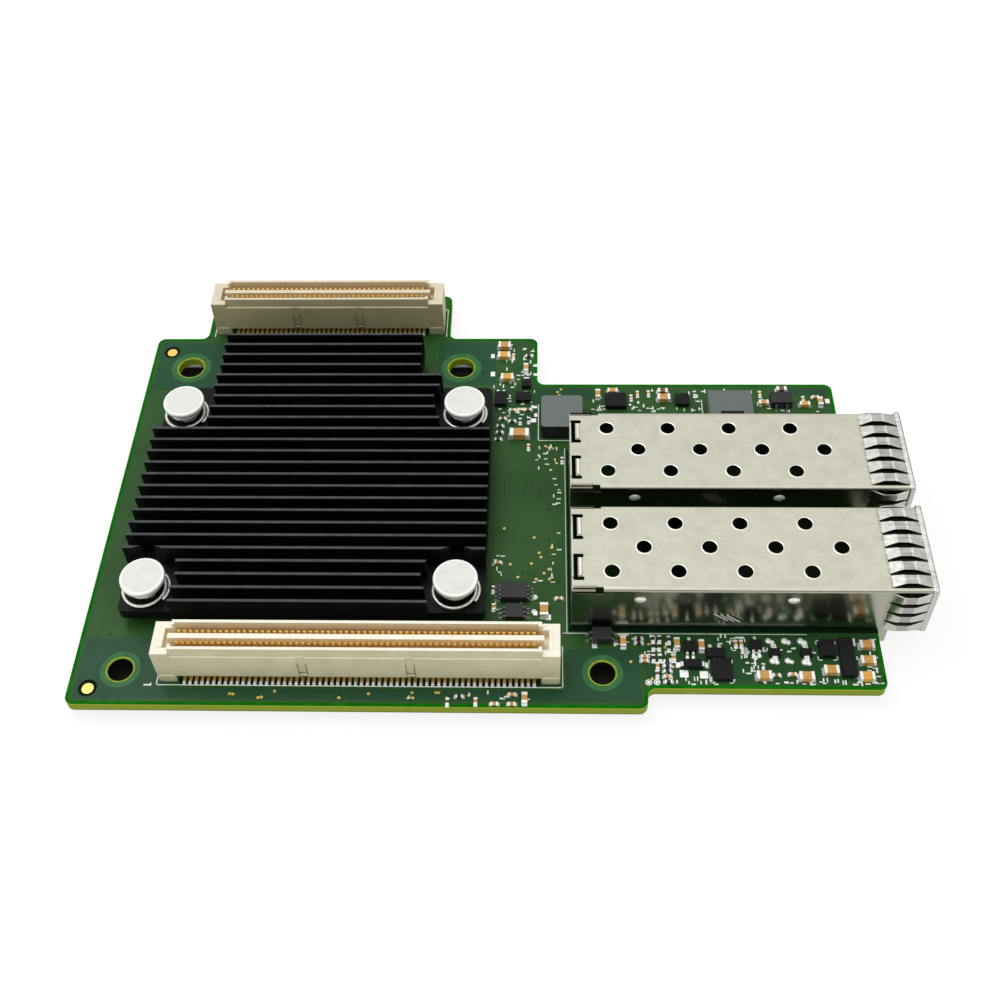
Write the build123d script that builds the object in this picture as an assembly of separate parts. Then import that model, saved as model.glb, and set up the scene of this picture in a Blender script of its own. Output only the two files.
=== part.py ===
"""Network card that plugs flat onto a server board. Millimetres, +X to the module ports, +Z up.

The card is modelled with the board's front left corner at X = Y = 0 and its underside at Z = 0.
At export everything moves by row_origin, so that the row's origin is under the middle of the card.
"""

import os

from build123d import *

# Circuit board
board_thickness = 1.57
board_corner_radius = 1.2
front_strip_depth = 12.25
rear_strip_depth = 14.2
rear_step_depth = 10.25
rear_step_setback = 4.8
front_notch_setback = 10.1
front_notch_depth = 3.04
connector_tab_depth = 10.1
connector_tab_left_margin = 1.4
connector_tab_right_margin = 0.9

# Mounting holes
rear_hole_radius = 2.25
rear_hole_spacing = 44.35
rear_hole_left = 6.5
rear_hole_inset = 6.6
front_hole_radius = 1.95
front_hole_spacing = 65.55
front_hole_left = 6.62
front_hole_inset = 5.3

# Board-to-board connectors, heights from the board's top
contact_pitch = 0.8
contact_thickness = 0.25
contact_width = 0.3
contact_tip_height = 7.2
contact_foot_reach = 2.7
front_contacts_per_row = 60
rear_contacts_per_row = 40
front_connector_inset = 6.15
rear_connector_inset = 6.4
housing_end_margin = 3.45
housing_width = 5.05
housing_upper_width = 4.55
housing_underside = 1.28
housing_shoulder_height = 6.05
housing_end_height = 6.85
housing_height = 7.75
housing_end_length = 2.4
housing_end_wall = 0.95
housing_side_wall = 0.45
housing_foot_step = 0.12
cavity_floor_height = 3.0
end_cavity_floor_height = 3.9
end_cavity_width = 3.0
tongue_width = 0.76
tongue_height = 7.43
tongue_end_margin = 2.1
groove_width = 1.1
groove_depth = 0.12
front_groove_offset = 7.2
rear_groove_offset = 5.2

# Controller chip and thermal pad
chip_size = 19.0
chip_substrate_thickness = 0.68
chip_cap_size = 15.0
chip_cap_thickness = 0.8
thermal_pad_size = 14.0
thermal_pad_thickness = 0.15

# Heat sink
sink_left = 5.4
sink_length = 50.8
sink_to_cage_gap = 11.8
land_front = 12.4
land_back_margin = 14.1
sink_base_thickness = 1.8
sink_corner_radius = 0.8
nose_front = 11.3
nose_left_inset = 7.9
nose_right_inset = 7.7
tail_left_inset = 8.15
tail_right_inset = 11.15
tail_back_margin = 5.7
fin_pitch = 2.182
fin_thickness = 0.45
fin_height = 4.0
first_fin_y = 11.67
pocket_radius = 4.7
front_pocket_depth = 6.9
rear_pocket_depth = 10.6

# Push pins and their springs
pin_left_inset = 3.5
pin_right_inset = 4.05
pin_front_inset = 3.6
pin_back_inset = 5.6
pin_head_radius = 3.12
pin_head_thickness = 1.5
pin_head_chamfer = 0.3
pin_shaft_radius = 1.45
pin_shaft_sides = 8
pin_hole_sides = 8
pin_hole_clearance = 0.15
sink_hole_clearance = 0.25
barb_reach = 1.95
barb_tip_reach = 1.0
barb_width = 1.9
barb_slit = 0.5
barb_slit_rise = 1.2
underside_reach = 1.9
spring_wire_radius = 0.22
spring_wire_sides = 4
spring_outer_radius = 3.45
spring_top_radius = 2.45
spring_height = 1.8
spring_turns = 2.5
spring_steps_per_turn = 12

# Module cages
port_gap = 3.1
cage_length = 48.3
cage_overhang = 6.3
cage_width = 14.1
cage_height = 9.5
cage_sheet = 0.25
cage_bend_radius = 0.5
vent_radius = 1.05
vent_sides = 16
vent_first = 5.45
vent_pitch = 8.91
vent_row_pitch = 3.97
vents_per_row = 4
tail_end_margin = 1.5
tail_first = 2.6
tail_pitch = 12.0
tail_width = 0.7
tail_hole_radius = 0.55
tail_hole_sides = 8
edge_tab_length = 1.2
edge_tab_gap = 0.15
edge_tab_reach = 1.2
seam_length = 2.9
seam_height = 0.35
seam_notch_length = 1.1
hinge_slot_inner = 1.2
hinge_slot_outer = 5.1
hinge_slot_inset = 0.3
hinge_slot_width = 0.4
hinge_cross_width = 0.3
hinge_cross_length = 1.3
floor_start = 17.6
floor_raise = 0.2
latch_hole_length = 3.2
latch_hole_width = 2.8
latch_hole_inset = 2.6

# Spring-finger collars
collar_sheet = 0.2
collar_gap = 0.02
collar_band = 1.1
collar_lip = 0.2
collar_lip_inset = 0.45
finger_length = 5.1
finger_bow = 0.62
finger_sheet = 0.13
finger_width = 1.5
finger_pitch = 2.2

# Sockets inside the cages
socket_start = 8.4
socket_length = 8.8
socket_side_gap = 0.5
socket_height = 5.6
socket_slot_side_margin = 0.9
socket_slot_height = 1.5
socket_slot_depth = 5.6
socket_slot_raise = 2.6
socket_contacts_per_row = 10
socket_contact_pitch = 0.8
socket_contact_width = 0.35
socket_contact_thickness = 0.2
socket_contact_setback = 0.5

# Small parts: capacitors and resistors by case size, as length, width and height
case_1206 = (3.0, 1.5, 1.2)
case_0805 = (2.0, 1.2, 0.9)
case_0603 = (1.6, 0.8, 0.7)
case_0402 = (1.0, 0.5, 0.35)

# Power inductors, as length, width and height and as the place of their middle
moulded_inductor_size = (6.5, 6.5, 2.8)
moulded_inductor_chamfer = 0.4
moulded_inductor_place = (3.85, -18.3)
ferrite_inductor_size = (6.8, 5.6, 3.0)
ferrite_inductor_place = (-16.75, -6.7)
ferrite_window_width = 3.8
ferrite_window_slope = 0.4
ferrite_window_height = 1.3

# Values that follow from the sizes above
board_top = board_thickness
sink_right = sink_left + sink_length
cage_back = sink_right + sink_to_cage_gap
cage_front = cage_back + cage_length
cage_top = board_top + cage_height
board_length = cage_front - cage_overhang
mouth_x = cage_front + collar_lip
front_port_y = front_strip_depth + cage_width / 2
rear_port_y = front_port_y + cage_width + port_gap
port_places = {"front": front_port_y, "rear": rear_port_y}
shelf_front = front_notch_depth
shelf_back = rear_port_y + cage_width / 2 + rear_strip_depth
board_depth = shelf_back + rear_step_depth
card_depth = board_depth + connector_tab_depth
rear_step_left = cage_back - rear_step_setback
front_notch_left = cage_back + front_notch_setback
sink_bottom = board_top + chip_substrate_thickness + chip_cap_thickness + thermal_pad_thickness
land_top = sink_bottom + sink_base_thickness
fin_top = land_top + fin_height
land_back = board_depth - land_back_margin
tail_back = board_depth - tail_back_margin
fin_count = int((tail_back - first_fin_y) / fin_pitch) + 1
nose_left = sink_left + nose_left_inset
nose_right = sink_right - nose_right_inset
tail_left = sink_left + tail_left_inset
tail_right = sink_right - tail_right_inset
pin_head_bottom = land_top + spring_height
pin_columns = (sink_left + pin_left_inset, sink_right - pin_right_inset)
pin_rows = (land_front + pin_front_inset, land_back - pin_back_inset)
pin_places = [(x, y) for y in pin_rows for x in pin_columns]
chip_x = sum(pin_columns) / 2
chip_y = sum(pin_rows) / 2
socket_row_width = socket_contacts_per_row * socket_contact_pitch
socket_slot_width = socket_row_width + 2 * socket_slot_side_margin
socket_width = cage_width - 2 * cage_sheet - 2 * socket_side_gap
tail_count = int((board_length - cage_back - tail_first - tail_end_margin) / tail_pitch) + 1
top_fingers = int(cage_width / finger_pitch)
side_fingers = int(cage_height / finger_pitch)
front_connector_x = front_hole_left + front_hole_spacing / 2
rear_connector_x = rear_hole_left + rear_hole_spacing / 2
front_connector_y = front_connector_inset
rear_connector_y = card_depth - rear_connector_inset
row_origin = (mouth_x / 2, card_depth / 2, -underside_reach)


def block(x, y, z):
    """A box between two values along each axis."""
    centre = Pos((x[0] + x[1]) / 2, (y[0] + y[1]) / 2, (z[0] + z[1]) / 2)
    return centre * Box(x[1] - x[0], y[1] - y[0], z[1] - z[0])


def spread(middle, size):
    """The two ends of a size centred on a value."""
    return (middle - size / 2, middle + size / 2)


def plate(x, y, size_x, size_y, low, high):
    """A box standing over a point of the board."""
    return block(spread(x, size_x), spread(y, size_y), (low, high))


def across_x(points, low, high):
    """A profile of (y, z) points drawn out along X."""
    face = make_face(Polyline([(low, y, z) for y, z in points], close=True))
    return extrude(face, amount=high - low, dir=(1, 0, 0))


def across_y(points, low, high):
    """A profile of (x, z) points drawn out along Y."""
    face = make_face(Polyline([(x, low, z) for x, z in points], close=True))
    return extrude(face, amount=high - low, dir=(0, 1, 0))


def upright(shape, low, high):
    """A flat shape raised between two heights."""
    return Pos(0, 0, low) * extrude(shape, amount=high - low)


def housing_length(contacts_per_row):
    return (contacts_per_row - 1) * contact_pitch + 2 * housing_end_margin


def cage_tail_places(port_y):
    """Where a cage's press-fit tails stand, in the middle of its two side walls."""
    wall = cage_width / 2 - cage_sheet / 2
    columns = [cage_back + tail_first + i * tail_pitch for i in range(tail_count)]
    return [(x, port_y + side * wall) for x in columns for side in (-1, 1)]


def board_outline():
    """The board seen from above, with its connector tab, rear step and front notch."""
    half_connector = housing_length(rear_contacts_per_row) / 2
    tab_left = rear_connector_x - half_connector - connector_tab_left_margin
    tab_right = rear_connector_x + half_connector + connector_tab_right_margin
    corners = [
        (0, 0),
        (front_notch_left, 0),
        (front_notch_left, shelf_front),
        (board_length, shelf_front),
        (board_length, shelf_back),
        (rear_step_left, shelf_back),
        (rear_step_left, board_depth),
        (tab_right, board_depth),
        (tab_right, card_depth),
        (tab_left, card_depth),
        (tab_left, board_depth),
        (0, board_depth),
    ]
    outline = make_face(Polyline(corners, close=True))
    return fillet(outline.vertices(), board_corner_radius)


def mounting_holes():
    """Centre and radius of the four holes that hold the card on its standoffs."""
    rear_y = board_depth - rear_hole_inset
    return [
        (rear_hole_left, rear_y, rear_hole_radius),
        (rear_hole_left + rear_hole_spacing, rear_y, rear_hole_radius),
        (front_hole_left, front_hole_inset, front_hole_radius),
        (front_hole_left + front_hole_spacing, front_hole_inset, front_hole_radius),
    ]


def circuit_board():
    outline = board_outline()
    holes = [Pos(x, y) * Circle(radius) for x, y, radius in mounting_holes()]
    pin_hole = RegularPolygon(pin_shaft_radius + pin_hole_clearance, pin_hole_sides)
    holes += [Pos(x, y) * pin_hole for x, y in pin_places]
    tail_hole = RegularPolygon(tail_hole_radius, tail_hole_sides)
    for port_y in port_places.values():
        holes += [Pos(x, y) * tail_hole for x, y in cage_tail_places(port_y)]
    return upright(outline - holes, 0, board_top)


def connector_housing(contacts_per_row, middle_x, middle_y, groove_offset):
    """A beige housing with a contact tongue in a deep slot and a raised end block at each end."""
    half = housing_length(contacts_per_row) / 2
    inner = half - housing_end_length
    span = (contacts_per_row - 1) * contact_pitch + contact_pitch
    lower = spread(0, housing_width)
    upper = spread(0, housing_upper_width)
    shape = block((-half, half), lower, (housing_underside, housing_shoulder_height))
    shape += block((-inner, inner), upper, (housing_shoulder_height, housing_height))
    foot_width = housing_width + 2 * housing_foot_step
    for side in (-1, 1):
        end = sorted((side * half, side * inner))
        shape += block(end, lower, (housing_shoulder_height, housing_end_height))
        shape += block(end, lower, (0, housing_underside))
        foot = sorted((side * (half - 0.3), side * (inner + 0.1)))
        shape += block(foot, spread(0, foot_width), (0, housing_underside + 0.2))
    cavity_x = inner - housing_side_wall
    cavity_width = housing_upper_width - 2 * housing_side_wall
    above = housing_height + 1
    shape -= block((-cavity_x, cavity_x), spread(0, cavity_width), (cavity_floor_height, above))
    ends_x = half - housing_end_wall
    ends = block((-ends_x, ends_x), spread(0, end_cavity_width), (end_cavity_floor_height, above))
    tongue_x = half - tongue_end_margin
    tongue = block(
        (-tongue_x, tongue_x), spread(0, tongue_width), (cavity_floor_height, tongue_height)
    )
    shape = shape - ends + tongue
    for side in (-1, 1):
        slot = sorted((side * tongue_width / 2, side * (tongue_width / 2 + contact_thickness)))
        shape -= block(spread(0, span), slot, (0, cavity_floor_height))
        face_y = sorted((side * (housing_width / 2 - groove_depth), side * housing_width))
        for offset in (-groove_offset, groove_offset):
            tall = (housing_underside + 0.5, housing_shoulder_height)
            shape -= block(spread(offset, groove_width), face_y, tall)
    return Pos(middle_x, middle_y, board_top) * shape


def connector_contacts(contacts_per_row, middle_x, middle_y):
    """Two rows of bent strips that lie against the tongue and turn outwards onto the board."""
    near = tongue_width / 2
    far = near + contact_thickness
    strips = []
    for side in (-1, 1):
        profile = [
            (near, contact_tip_height),
            (far, contact_tip_height),
            (far, contact_thickness),
            (contact_foot_reach, contact_thickness),
            (contact_foot_reach, 0),
            (near, 0),
        ]
        points = [(side * y, z) for y, z in profile]
        strip = across_x(points, -contact_width / 2, contact_width / 2)
        for i in range(contacts_per_row):
            x = middle_x + (i - (contacts_per_row - 1) / 2) * contact_pitch
            strips.append(Pos(x, middle_y, board_top) * strip)
    return strips


def controller_chip():
    low = board_top + chip_substrate_thickness
    substrate = plate(chip_x, chip_y, chip_size, chip_size, board_top, low)
    cap = plate(chip_x, chip_y, chip_cap_size, chip_cap_size, low, low + chip_cap_thickness)
    return substrate + cap


def thermal_pad():
    low = sink_bottom - thermal_pad_thickness
    return plate(chip_x, chip_y, thermal_pad_size, thermal_pad_size, low, sink_bottom)


def sink_base_outline():
    """The base plate: four corner lands, a nose towards the front and a tail towards the back."""
    corners = [
        (sink_left, land_front),
        (nose_left, land_front),
        (nose_left, nose_front),
        (nose_right, nose_front),
        (nose_right, land_front),
        (sink_right, land_front),
        (sink_right, land_back),
        (tail_right, land_back),
        (tail_right, tail_back),
        (tail_left, tail_back),
        (tail_left, land_back),
        (sink_left, land_back),
    ]
    outline = make_face(Polyline(corners, close=True))
    ends = outline.vertices().group_by(Axis.X)
    return fillet(ends[0] + ends[-1], sink_corner_radius)


def sink_pockets():
    """What is milled away around the push pins: a square corner and a round well at each."""
    wells = [Pos(x, y) * Circle(pocket_radius) for x, y in pin_places]
    front_edge = land_front + front_pocket_depth
    rear_edge = land_back - rear_pocket_depth
    corners = []
    for x in ((sink_left - 1, nose_left), (nose_right, sink_right + 1)):
        for y in ((nose_front - 1, front_edge), (rear_edge, land_back + 0.2)):
            size = Rectangle(x[1] - x[0], y[1] - y[0])
            corners.append(Pos(sum(x) / 2, sum(y) / 2) * size)
    return wells + corners


def heat_sink():
    fins = []
    for i in range(fin_count):
        y = first_fin_y + i * fin_pitch
        left, right = (tail_left, tail_right) if y > land_back else (sink_left, sink_right)
        fins.append(Pos((left + right) / 2, y) * Rectangle(right - left, fin_thickness))
    standing = Sketch() + fins - sink_pockets()
    hole = RegularPolygon(pin_shaft_radius + sink_hole_clearance, pin_hole_sides)
    holes = [Pos(x, y) * hole for x, y in pin_places]
    base = upright(sink_base_outline() - holes, sink_bottom, land_top)
    return base + upright(standing, land_top, fin_top)


def push_pin():
    """One push pin standing over X = Y = 0: head, shaft and a barb split into two springy legs."""
    head_top = pin_head_bottom + pin_head_thickness
    head = upright(Circle(pin_head_radius), pin_head_bottom, head_top)
    rim = head.edges().filter_by(GeomType.CIRCLE).sort_by(Axis.Z)[-1]
    head = chamfer(rim, pin_head_chamfer)
    shaft = upright(RegularPolygon(pin_shaft_radius, pin_shaft_sides), 0, pin_head_bottom)
    slit = block(spread(0, 2 * pin_head_radius), spread(0, barb_slit), (-1, barb_slit_rise))
    pin = head + shaft - slit
    for side in (-1, 1):
        leg = [
            (side * barb_slit / 2, -underside_reach),
            (side * barb_tip_reach, -underside_reach),
            (side * barb_reach, 0),
            (side * barb_slit / 2, 0),
        ]
        pin += across_x(leg, -barb_width / 2, barb_width / 2)
    return pin


def push_pins():
    pin = push_pin()
    return [Pos(x, y, 0) * pin for x, y in pin_places]


def coil_spring():
    """One conical coil spring, its widest turn on the heat sink and its narrowest under the head."""
    rise = spring_height - 2 * spring_wire_radius
    bottom = spring_outer_radius - spring_wire_radius
    steps = round(spring_turns * spring_steps_per_turn)
    corners = []
    for i in range(steps + 1):
        share = i / steps
        radius = bottom + (spring_top_radius - bottom) * share
        corner = Vector(radius, 0, spring_wire_radius + rise * share)
        corners.append(corner.rotate(Axis.Z, 360 * spring_turns * share))
    path = Polyline(corners)
    start = Plane(origin=path @ 0, z_dir=path % 0)
    wire = start * RegularPolygon(spring_wire_radius, spring_wire_sides)
    return sweep(wire, path=path, transition=Transition.RIGHT)


def push_pin_springs():
    spring = coil_spring()
    return [Pos(x, y, land_top) * spring for x, y in pin_places]


def cage_shell_section(width, top, radius):
    """The end view of a cage: two walls and a top with rounded bends."""
    height = top - board_top + 1
    shape = Pos(0, top - height / 2) * Rectangle(width, height)
    bends = shape.vertices().group_by(Axis.Y)[-1]
    return fillet(bends, radius)


def along_x(shape, low, high):
    """A section drawn in (y, z) and drawn out along X."""
    return Pos(low, 0, 0) * extrude(Plane.YZ * shape, amount=high - low)


def cage_cover():
    """The folded cover of one cage, drawn round Y = 0: top, side walls, back wall and tails."""
    half = cage_width / 2
    outer = cage_shell_section(cage_width, cage_top, cage_bend_radius)
    inner_width = cage_width - 2 * cage_sheet
    inner = cage_shell_section(inner_width, cage_top - cage_sheet, cage_bend_radius - cage_sheet)
    below = Pos(0, board_top - 1) * Rectangle(cage_width + 1, 2)
    shell = along_x(outer - inner - below, cage_back, cage_front)
    back = block(
        (cage_back, cage_back + cage_sheet),
        spread(0, inner_width),
        (board_top + cage_sheet, cage_top - cage_sheet),
    )
    shell += back
    for row in (-1, 0, 1):
        start = vent_first + (vent_pitch / 2 if row == 0 else 0)
        for i in range(vents_per_row):
            vent = RegularPolygon(vent_radius, vent_sides)
            place = Pos(cage_back + start + i * vent_pitch, row * vent_row_pitch)
            shell -= upright(place * vent, cage_top - 2 * cage_sheet, cage_top + 1)
    through = (cage_top - 3 * cage_sheet, cage_top + 1)
    for side in (-1, 1):
        slot_y = sorted((side * hinge_slot_inner, side * hinge_slot_outer))
        slot_x = cage_back + hinge_slot_inset
        shell -= block((slot_x, slot_x + hinge_slot_width), slot_y, through)
        outer_cross = spread(side * hinge_slot_outer, hinge_cross_width)
        shell -= block((cage_back + 0.05, cage_back + hinge_cross_length), outer_cross, through)
        inner_cross = spread(side * (hinge_slot_inner + hinge_cross_width), hinge_cross_width)
        shell -= block((slot_x, cage_back + hinge_cross_length), inner_cross, through)
        wall = sorted((side * (half - 2 * cage_sheet), side * (half + 1)))
        seam_end = cage_back + cage_sheet + seam_length
        seam = (cage_top - cage_bend_radius - seam_height, cage_top - cage_bend_radius)
        shell -= block((cage_back + cage_sheet, seam_end), wall, seam)
        notch_top = (seam[0] - cage_sheet, cage_top + 1)
        shell -= block((seam_end, seam_end + seam_notch_length), wall, notch_top)
        sheet_y = sorted((side * (half - cage_sheet), side * half))
        tab_start = board_length + edge_tab_gap
        edge_tab = (tab_start, tab_start + edge_tab_length)
        shell += block(edge_tab, sheet_y, (-edge_tab_reach, board_top))
    for x, y in cage_tail_places(0):
        wide = tail_width / 2
        tail = [
            (x - wide, board_top),
            (x + wide, board_top),
            (x + wide, 0),
            (x + wide / 2, -underside_reach),
            (x - wide / 2, -underside_reach),
            (x - wide, 0),
        ]
        shell += across_y(tail, y - cage_sheet / 2, y + cage_sheet / 2)
    return shell


def cage_floor():
    """The floor plate between the side walls, with the hole that a module's latch drops into."""
    low = board_top + floor_raise
    inner_width = cage_width - 2 * cage_sheet
    x = (cage_back + floor_start, cage_front)
    sheet = block(x, spread(0, inner_width), (low, low + cage_sheet))
    end = cage_front - latch_hole_inset
    hole = block((end - latch_hole_length, end), spread(0, latch_hole_width), (low - 1, low + 1))
    return sheet - hole


def finger():
    """One bowed finger along +X, ending on the collar's band, its width centred on Y = 0."""
    tip, crest = 0.0, finger_bow
    upper = [
        (0, tip + finger_sheet),
        (0.26 * finger_length, crest + finger_sheet),
        (0.62 * finger_length, crest + finger_sheet),
        (finger_length, finger_sheet),
    ]
    lower = [(finger_length, 0), (0.5 * finger_length, crest - finger_sheet), (0, 0)]
    return across_y(upper + lower, -finger_width / 2, finger_width / 2)


def cage_collar():
    """The collar round one cage's mouth, drawn round Y = 0: band, lip and bowed fingers."""
    width = cage_width + 2 * collar_gap
    low, high = board_top - collar_gap, cage_top + collar_gap
    middle = (low + high) / 2
    tall = high - low
    hole = Pos(0, middle) * Rectangle(width, tall)
    ring = Pos(0, middle) * Rectangle(width + 2 * collar_sheet, tall + 2 * collar_sheet)
    ring = fillet(ring.vertices(), cage_bend_radius)
    inset = 2 * collar_lip_inset
    mouth = Pos(0, middle) * Rectangle(width - inset, tall - inset)
    band_start = cage_front - collar_band
    collar = along_x(ring - hole, band_start, cage_front)
    collar += along_x(ring - mouth, cage_front, mouth_x)
    one = Pos(band_start - finger_length, 0, 0) * finger()
    side_finger = Rot(90, 0, 0) * one
    for i in range(top_fingers):
        y = (i - (top_fingers - 1) / 2) * finger_pitch
        collar += Pos(0, y, high) * one
        collar += Pos(0, y, low) * mirror(one, Plane.XY)
    for i in range(side_fingers):
        z = middle + (i - (side_fingers - 1) / 2) * finger_pitch
        collar += Pos(0, -width / 2, z) * side_finger
        collar += Pos(0, width / 2, z) * mirror(side_finger, Plane.XZ)
    return collar


def port_socket():
    """The socket inside one cage: a block with the slot that takes a module's card edge."""
    back = cage_back + socket_start
    front = back + socket_length
    low = board_top
    body = block((back, front), spread(0, socket_width), (low, low + socket_height))
    slot_low = low + socket_slot_raise
    slot_high = slot_low + socket_slot_height
    slot_x = (front - socket_slot_depth, front + 1)
    body -= block(slot_x, spread(0, socket_slot_width), (slot_low, slot_high))
    thin = socket_contact_thickness
    seats_x = (front - socket_slot_depth, front - socket_contact_setback)
    seats = block(seats_x, spread(0, socket_row_width), (slot_low - thin, slot_high + thin))
    return body - seats


def port_contacts():
    """The two rows of strips that face each other across the socket's slot."""
    front = cage_back + socket_start + socket_length
    thin = socket_contact_thickness
    slot_low = board_top + socket_slot_raise
    slot_high = slot_low + socket_slot_height
    along = (front - socket_slot_depth, front - socket_contact_setback)
    strips = []
    for low in (slot_low - thin, slot_high):
        for i in range(socket_contacts_per_row):
            y = (i - (socket_contacts_per_row - 1) / 2) * socket_contact_pitch
            strips.append(block(along, spread(y, socket_contact_width), (low, low + thin)))
    return strips


def at_port(port, pieces):
    """Moves what is drawn round Y = 0 to one of the two ports."""
    place = Pos(0, port_places[port], 0)
    if isinstance(pieces, list):
        return [place * piece for piece in pieces]
    return place * pieces


def chip_part(corner, place, size):
    """A small part on the board: corner is the board corner it is measured from."""
    x = corner[0] + place[0]
    y = corner[1] + place[1]
    return plate(x, y, size[0], size[1], board_top, board_top + size[2])


def turned(size):
    """The same part turned a quarter turn."""
    return (size[1], size[0], size[2])


# The corners that the small parts are measured from
ports_front = (board_length, shelf_front)
ports_back = (board_length, shelf_back)
step_corner = (rear_step_left, board_depth)
sink_corner = (sink_right, land_front)
notch_corner = (front_notch_left, 0)

large_capacitor_places = [
    (ports_front, (-34.9, 6.9), turned(case_0603)),
    (ports_front, (-27.6, 6.7), turned(case_0603)),
    (ports_front, (-24.3, 6.4), turned(case_0603)),
    (ports_front, (-1.95, 6.55), case_0805),
    (ports_front, (-2.15, 4.15), case_0805),
    (ports_front, (-2.65, 1.7), case_0805),
    (ports_front, (-7.25, 2.65), case_0805),
    (ports_front, (-10.65, 1.65), case_0805),
    (ports_front, (-16.3, 1.75), case_0805),
    (ports_back, (-37.15, -2.35), turned(case_0603)),
    (ports_back, (-34.8, -1.7), case_0603),
    (ports_back, (-26.75, -3.3), case_0805),
    (ports_back, (-4.7, -4.5), case_0603),
    (step_corner, (-5.4, -2.05), case_0805),
    (step_corner, (-5.45, -4.3), case_0805),
    (step_corner, (-1.85, -6.95), turned(case_0603)),
    (step_corner, (-4.85, -9.15), case_0805),
    (step_corner, (-2.75, -21.15), case_1206),
    (sink_corner, (8.1, 2.5), turned(case_0805)),
]

small_capacitor_places = [
    (ports_front, (-32.05, 4.75), case_0402),
    (ports_front, (-32.1, 4.1), case_0402),
    (ports_front, (-30.4, 3.3), turned(case_0402)),
    (ports_front, (-30.5, 2.1), turned(case_0402)),
    (ports_front, (-29.15, 1.7), case_0402),
    (ports_front, (-28.1, 4.6), turned(case_0402)),
    (ports_front, (-19.6, 6.85), turned(case_0402)),
    (ports_front, (-18.85, 6.85), turned(case_0402)),
    (ports_front, (-14.6, 2), case_0402),
    (ports_front, (-12.4, 2.15), case_0402),
    (ports_back, (-31.9, -2.95), turned(case_0402)),
    (ports_back, (-30.85, -2.15), turned(case_0402)),
    (ports_back, (-29.1, -2.05), turned(case_0402)),
    (ports_back, (-26.85, -1.75), case_0603),
    (ports_back, (-21.8, -2.15), turned(case_0402)),
    (ports_back, (-11.5, -2.15), turned(case_0402)),
    (ports_back, (-11.1, -4.2), case_0603),
    (ports_back, (-8, -1.35), case_0603),
    (ports_back, (-4.8, -3.25), turned(case_0402)),
    (ports_back, (-2.8, -2.8), case_0402),
    (ports_back, (-2.2, -3.95), turned(case_0603)),
    (step_corner, (-3.9, -4.2), turned(case_0402)),
    (step_corner, (-3.9, -15.85), case_0402),
    (step_corner, (-1.45, -15.75), case_0402),
    (step_corner, (-2.6, -15.75), case_0402),
    (step_corner, (-5.4, -17.65), case_0402),
    (step_corner, (-1.3, -23.4), turned(case_0402)),
    (step_corner, (3.85, -26), turned(case_0402)),
    (sink_corner, (1.45, 10.65), case_0402),
    (sink_corner, (0.9, 6.1), turned(case_0402)),
    (sink_corner, (1, 3.15), turned(case_0402)),
    (sink_corner, (10.2, 4.6), case_0402),
    (notch_corner, (-26.65, 0.7), turned(case_0402)),
    (notch_corner, (-22.9, 0.8), turned(case_0402)),
    (notch_corner, (-20.4, 0.45), case_0402),
    (notch_corner, (-18.1, 0.45), case_0402),
    (notch_corner, (-18.05, 1.85), case_0402),
    (notch_corner, (-16.4, 1.2), turned(case_0603)),
]

resistor_places = [
    (ports_front, (-32.75, 7.55), case_0402),
    (ports_front, (-32.75, 6.85), case_0402),
    (ports_front, (-30.8, 7.5), turned(case_0402)),
    (ports_front, (-29.95, 7.5), turned(case_0402)),
    (ports_front, (-30.85, 6.3), turned(case_0402)),
    (ports_front, (-30.05, 6.3), turned(case_0402)),
    (ports_front, (-28.65, 7.4), turned(case_0402)),
    (ports_front, (-28.75, 6.15), turned(case_0402)),
    (ports_front, (-30.9, 4.5), turned(case_0402)),
    (ports_front, (-30, 4.5), turned(case_0402)),
    (ports_front, (-29.05, 4), case_0402),
    (ports_front, (-29.05, 3.3), case_0402),
    (ports_front, (-29.1, 2.5), case_0402),
    (ports_front, (-29.05, 0.9), case_0402),
    (step_corner, (-1.4, -4.05), case_0402),
    (step_corner, (-3.9, -18.15), case_0402),
    (step_corner, (-2.65, -18.15), turned(case_0402)),
    (step_corner, (-1.3, -17.95), turned(case_0402)),
    (step_corner, (-5.8, -19.15), case_0402),
    (step_corner, (-5.85, -20.45), case_0402),
    (step_corner, (-6.05, -21.85), case_0402),
    (notch_corner, (-25.1, 1.5), case_0402),
]

regulator_places = [
    (ports_front, (-22.5, 5.1), (2.5, 1.4, 0.9)),
    (ports_front, (-21.85, 2.7), (2.7, 3.2, 0.8)),
    (ports_front, (-7.4, 5.95), (2.1, 2.5, 0.9)),
    (ports_front, (-4.85, 4.65), (1.9, 5.8, 0.8)),
    (ports_back, (-34.4, -3.95), (3.3, 2.8, 0.95)),
    (ports_back, (-23.9, -3.7), (2.2, 2.2, 0.85)),
    (step_corner, (-5.8, -13.75), (1.9, 2.7, 0.85)),
    (step_corner, (-2.25, -13.3), (2.3, 1.8, 0.75)),
]

memory_places = [
    (ports_front, (-37.8, 7.65), (2.6, 1.9, 1.4)),
    (ports_back, (-8.4, -3.9), (3.3, 2.2, 1.4)),
    (sink_corner, (3.85, 5.3), (3.7, 2.6, 1.3)),
    (sink_corner, (3.95, 2.15), (2.5, 2.2, 1)),
]

transistor_places = [
    (ports_front, (-25.9, 6.1), (1.6, 1.6, 0.9)),
    (ports_front, (-25.7, 3.5), (2.5, 1.2, 0.8)),
    (ports_front, (-16.95, 6.4), (1.6, 1.4, 0.9)),
    (ports_front, (-14.5, 5.4), (1.5, 1.1, 0.6)),
    (ports_front, (-10.25, 5.45), (1.6, 1.1, 0.6)),
    (step_corner, (-1.75, -10.45), (1.4, 1.6, 0.8)),
]


def parts_at(places):
    return [chip_part(corner, place, size) for corner, place, size in places]


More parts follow.
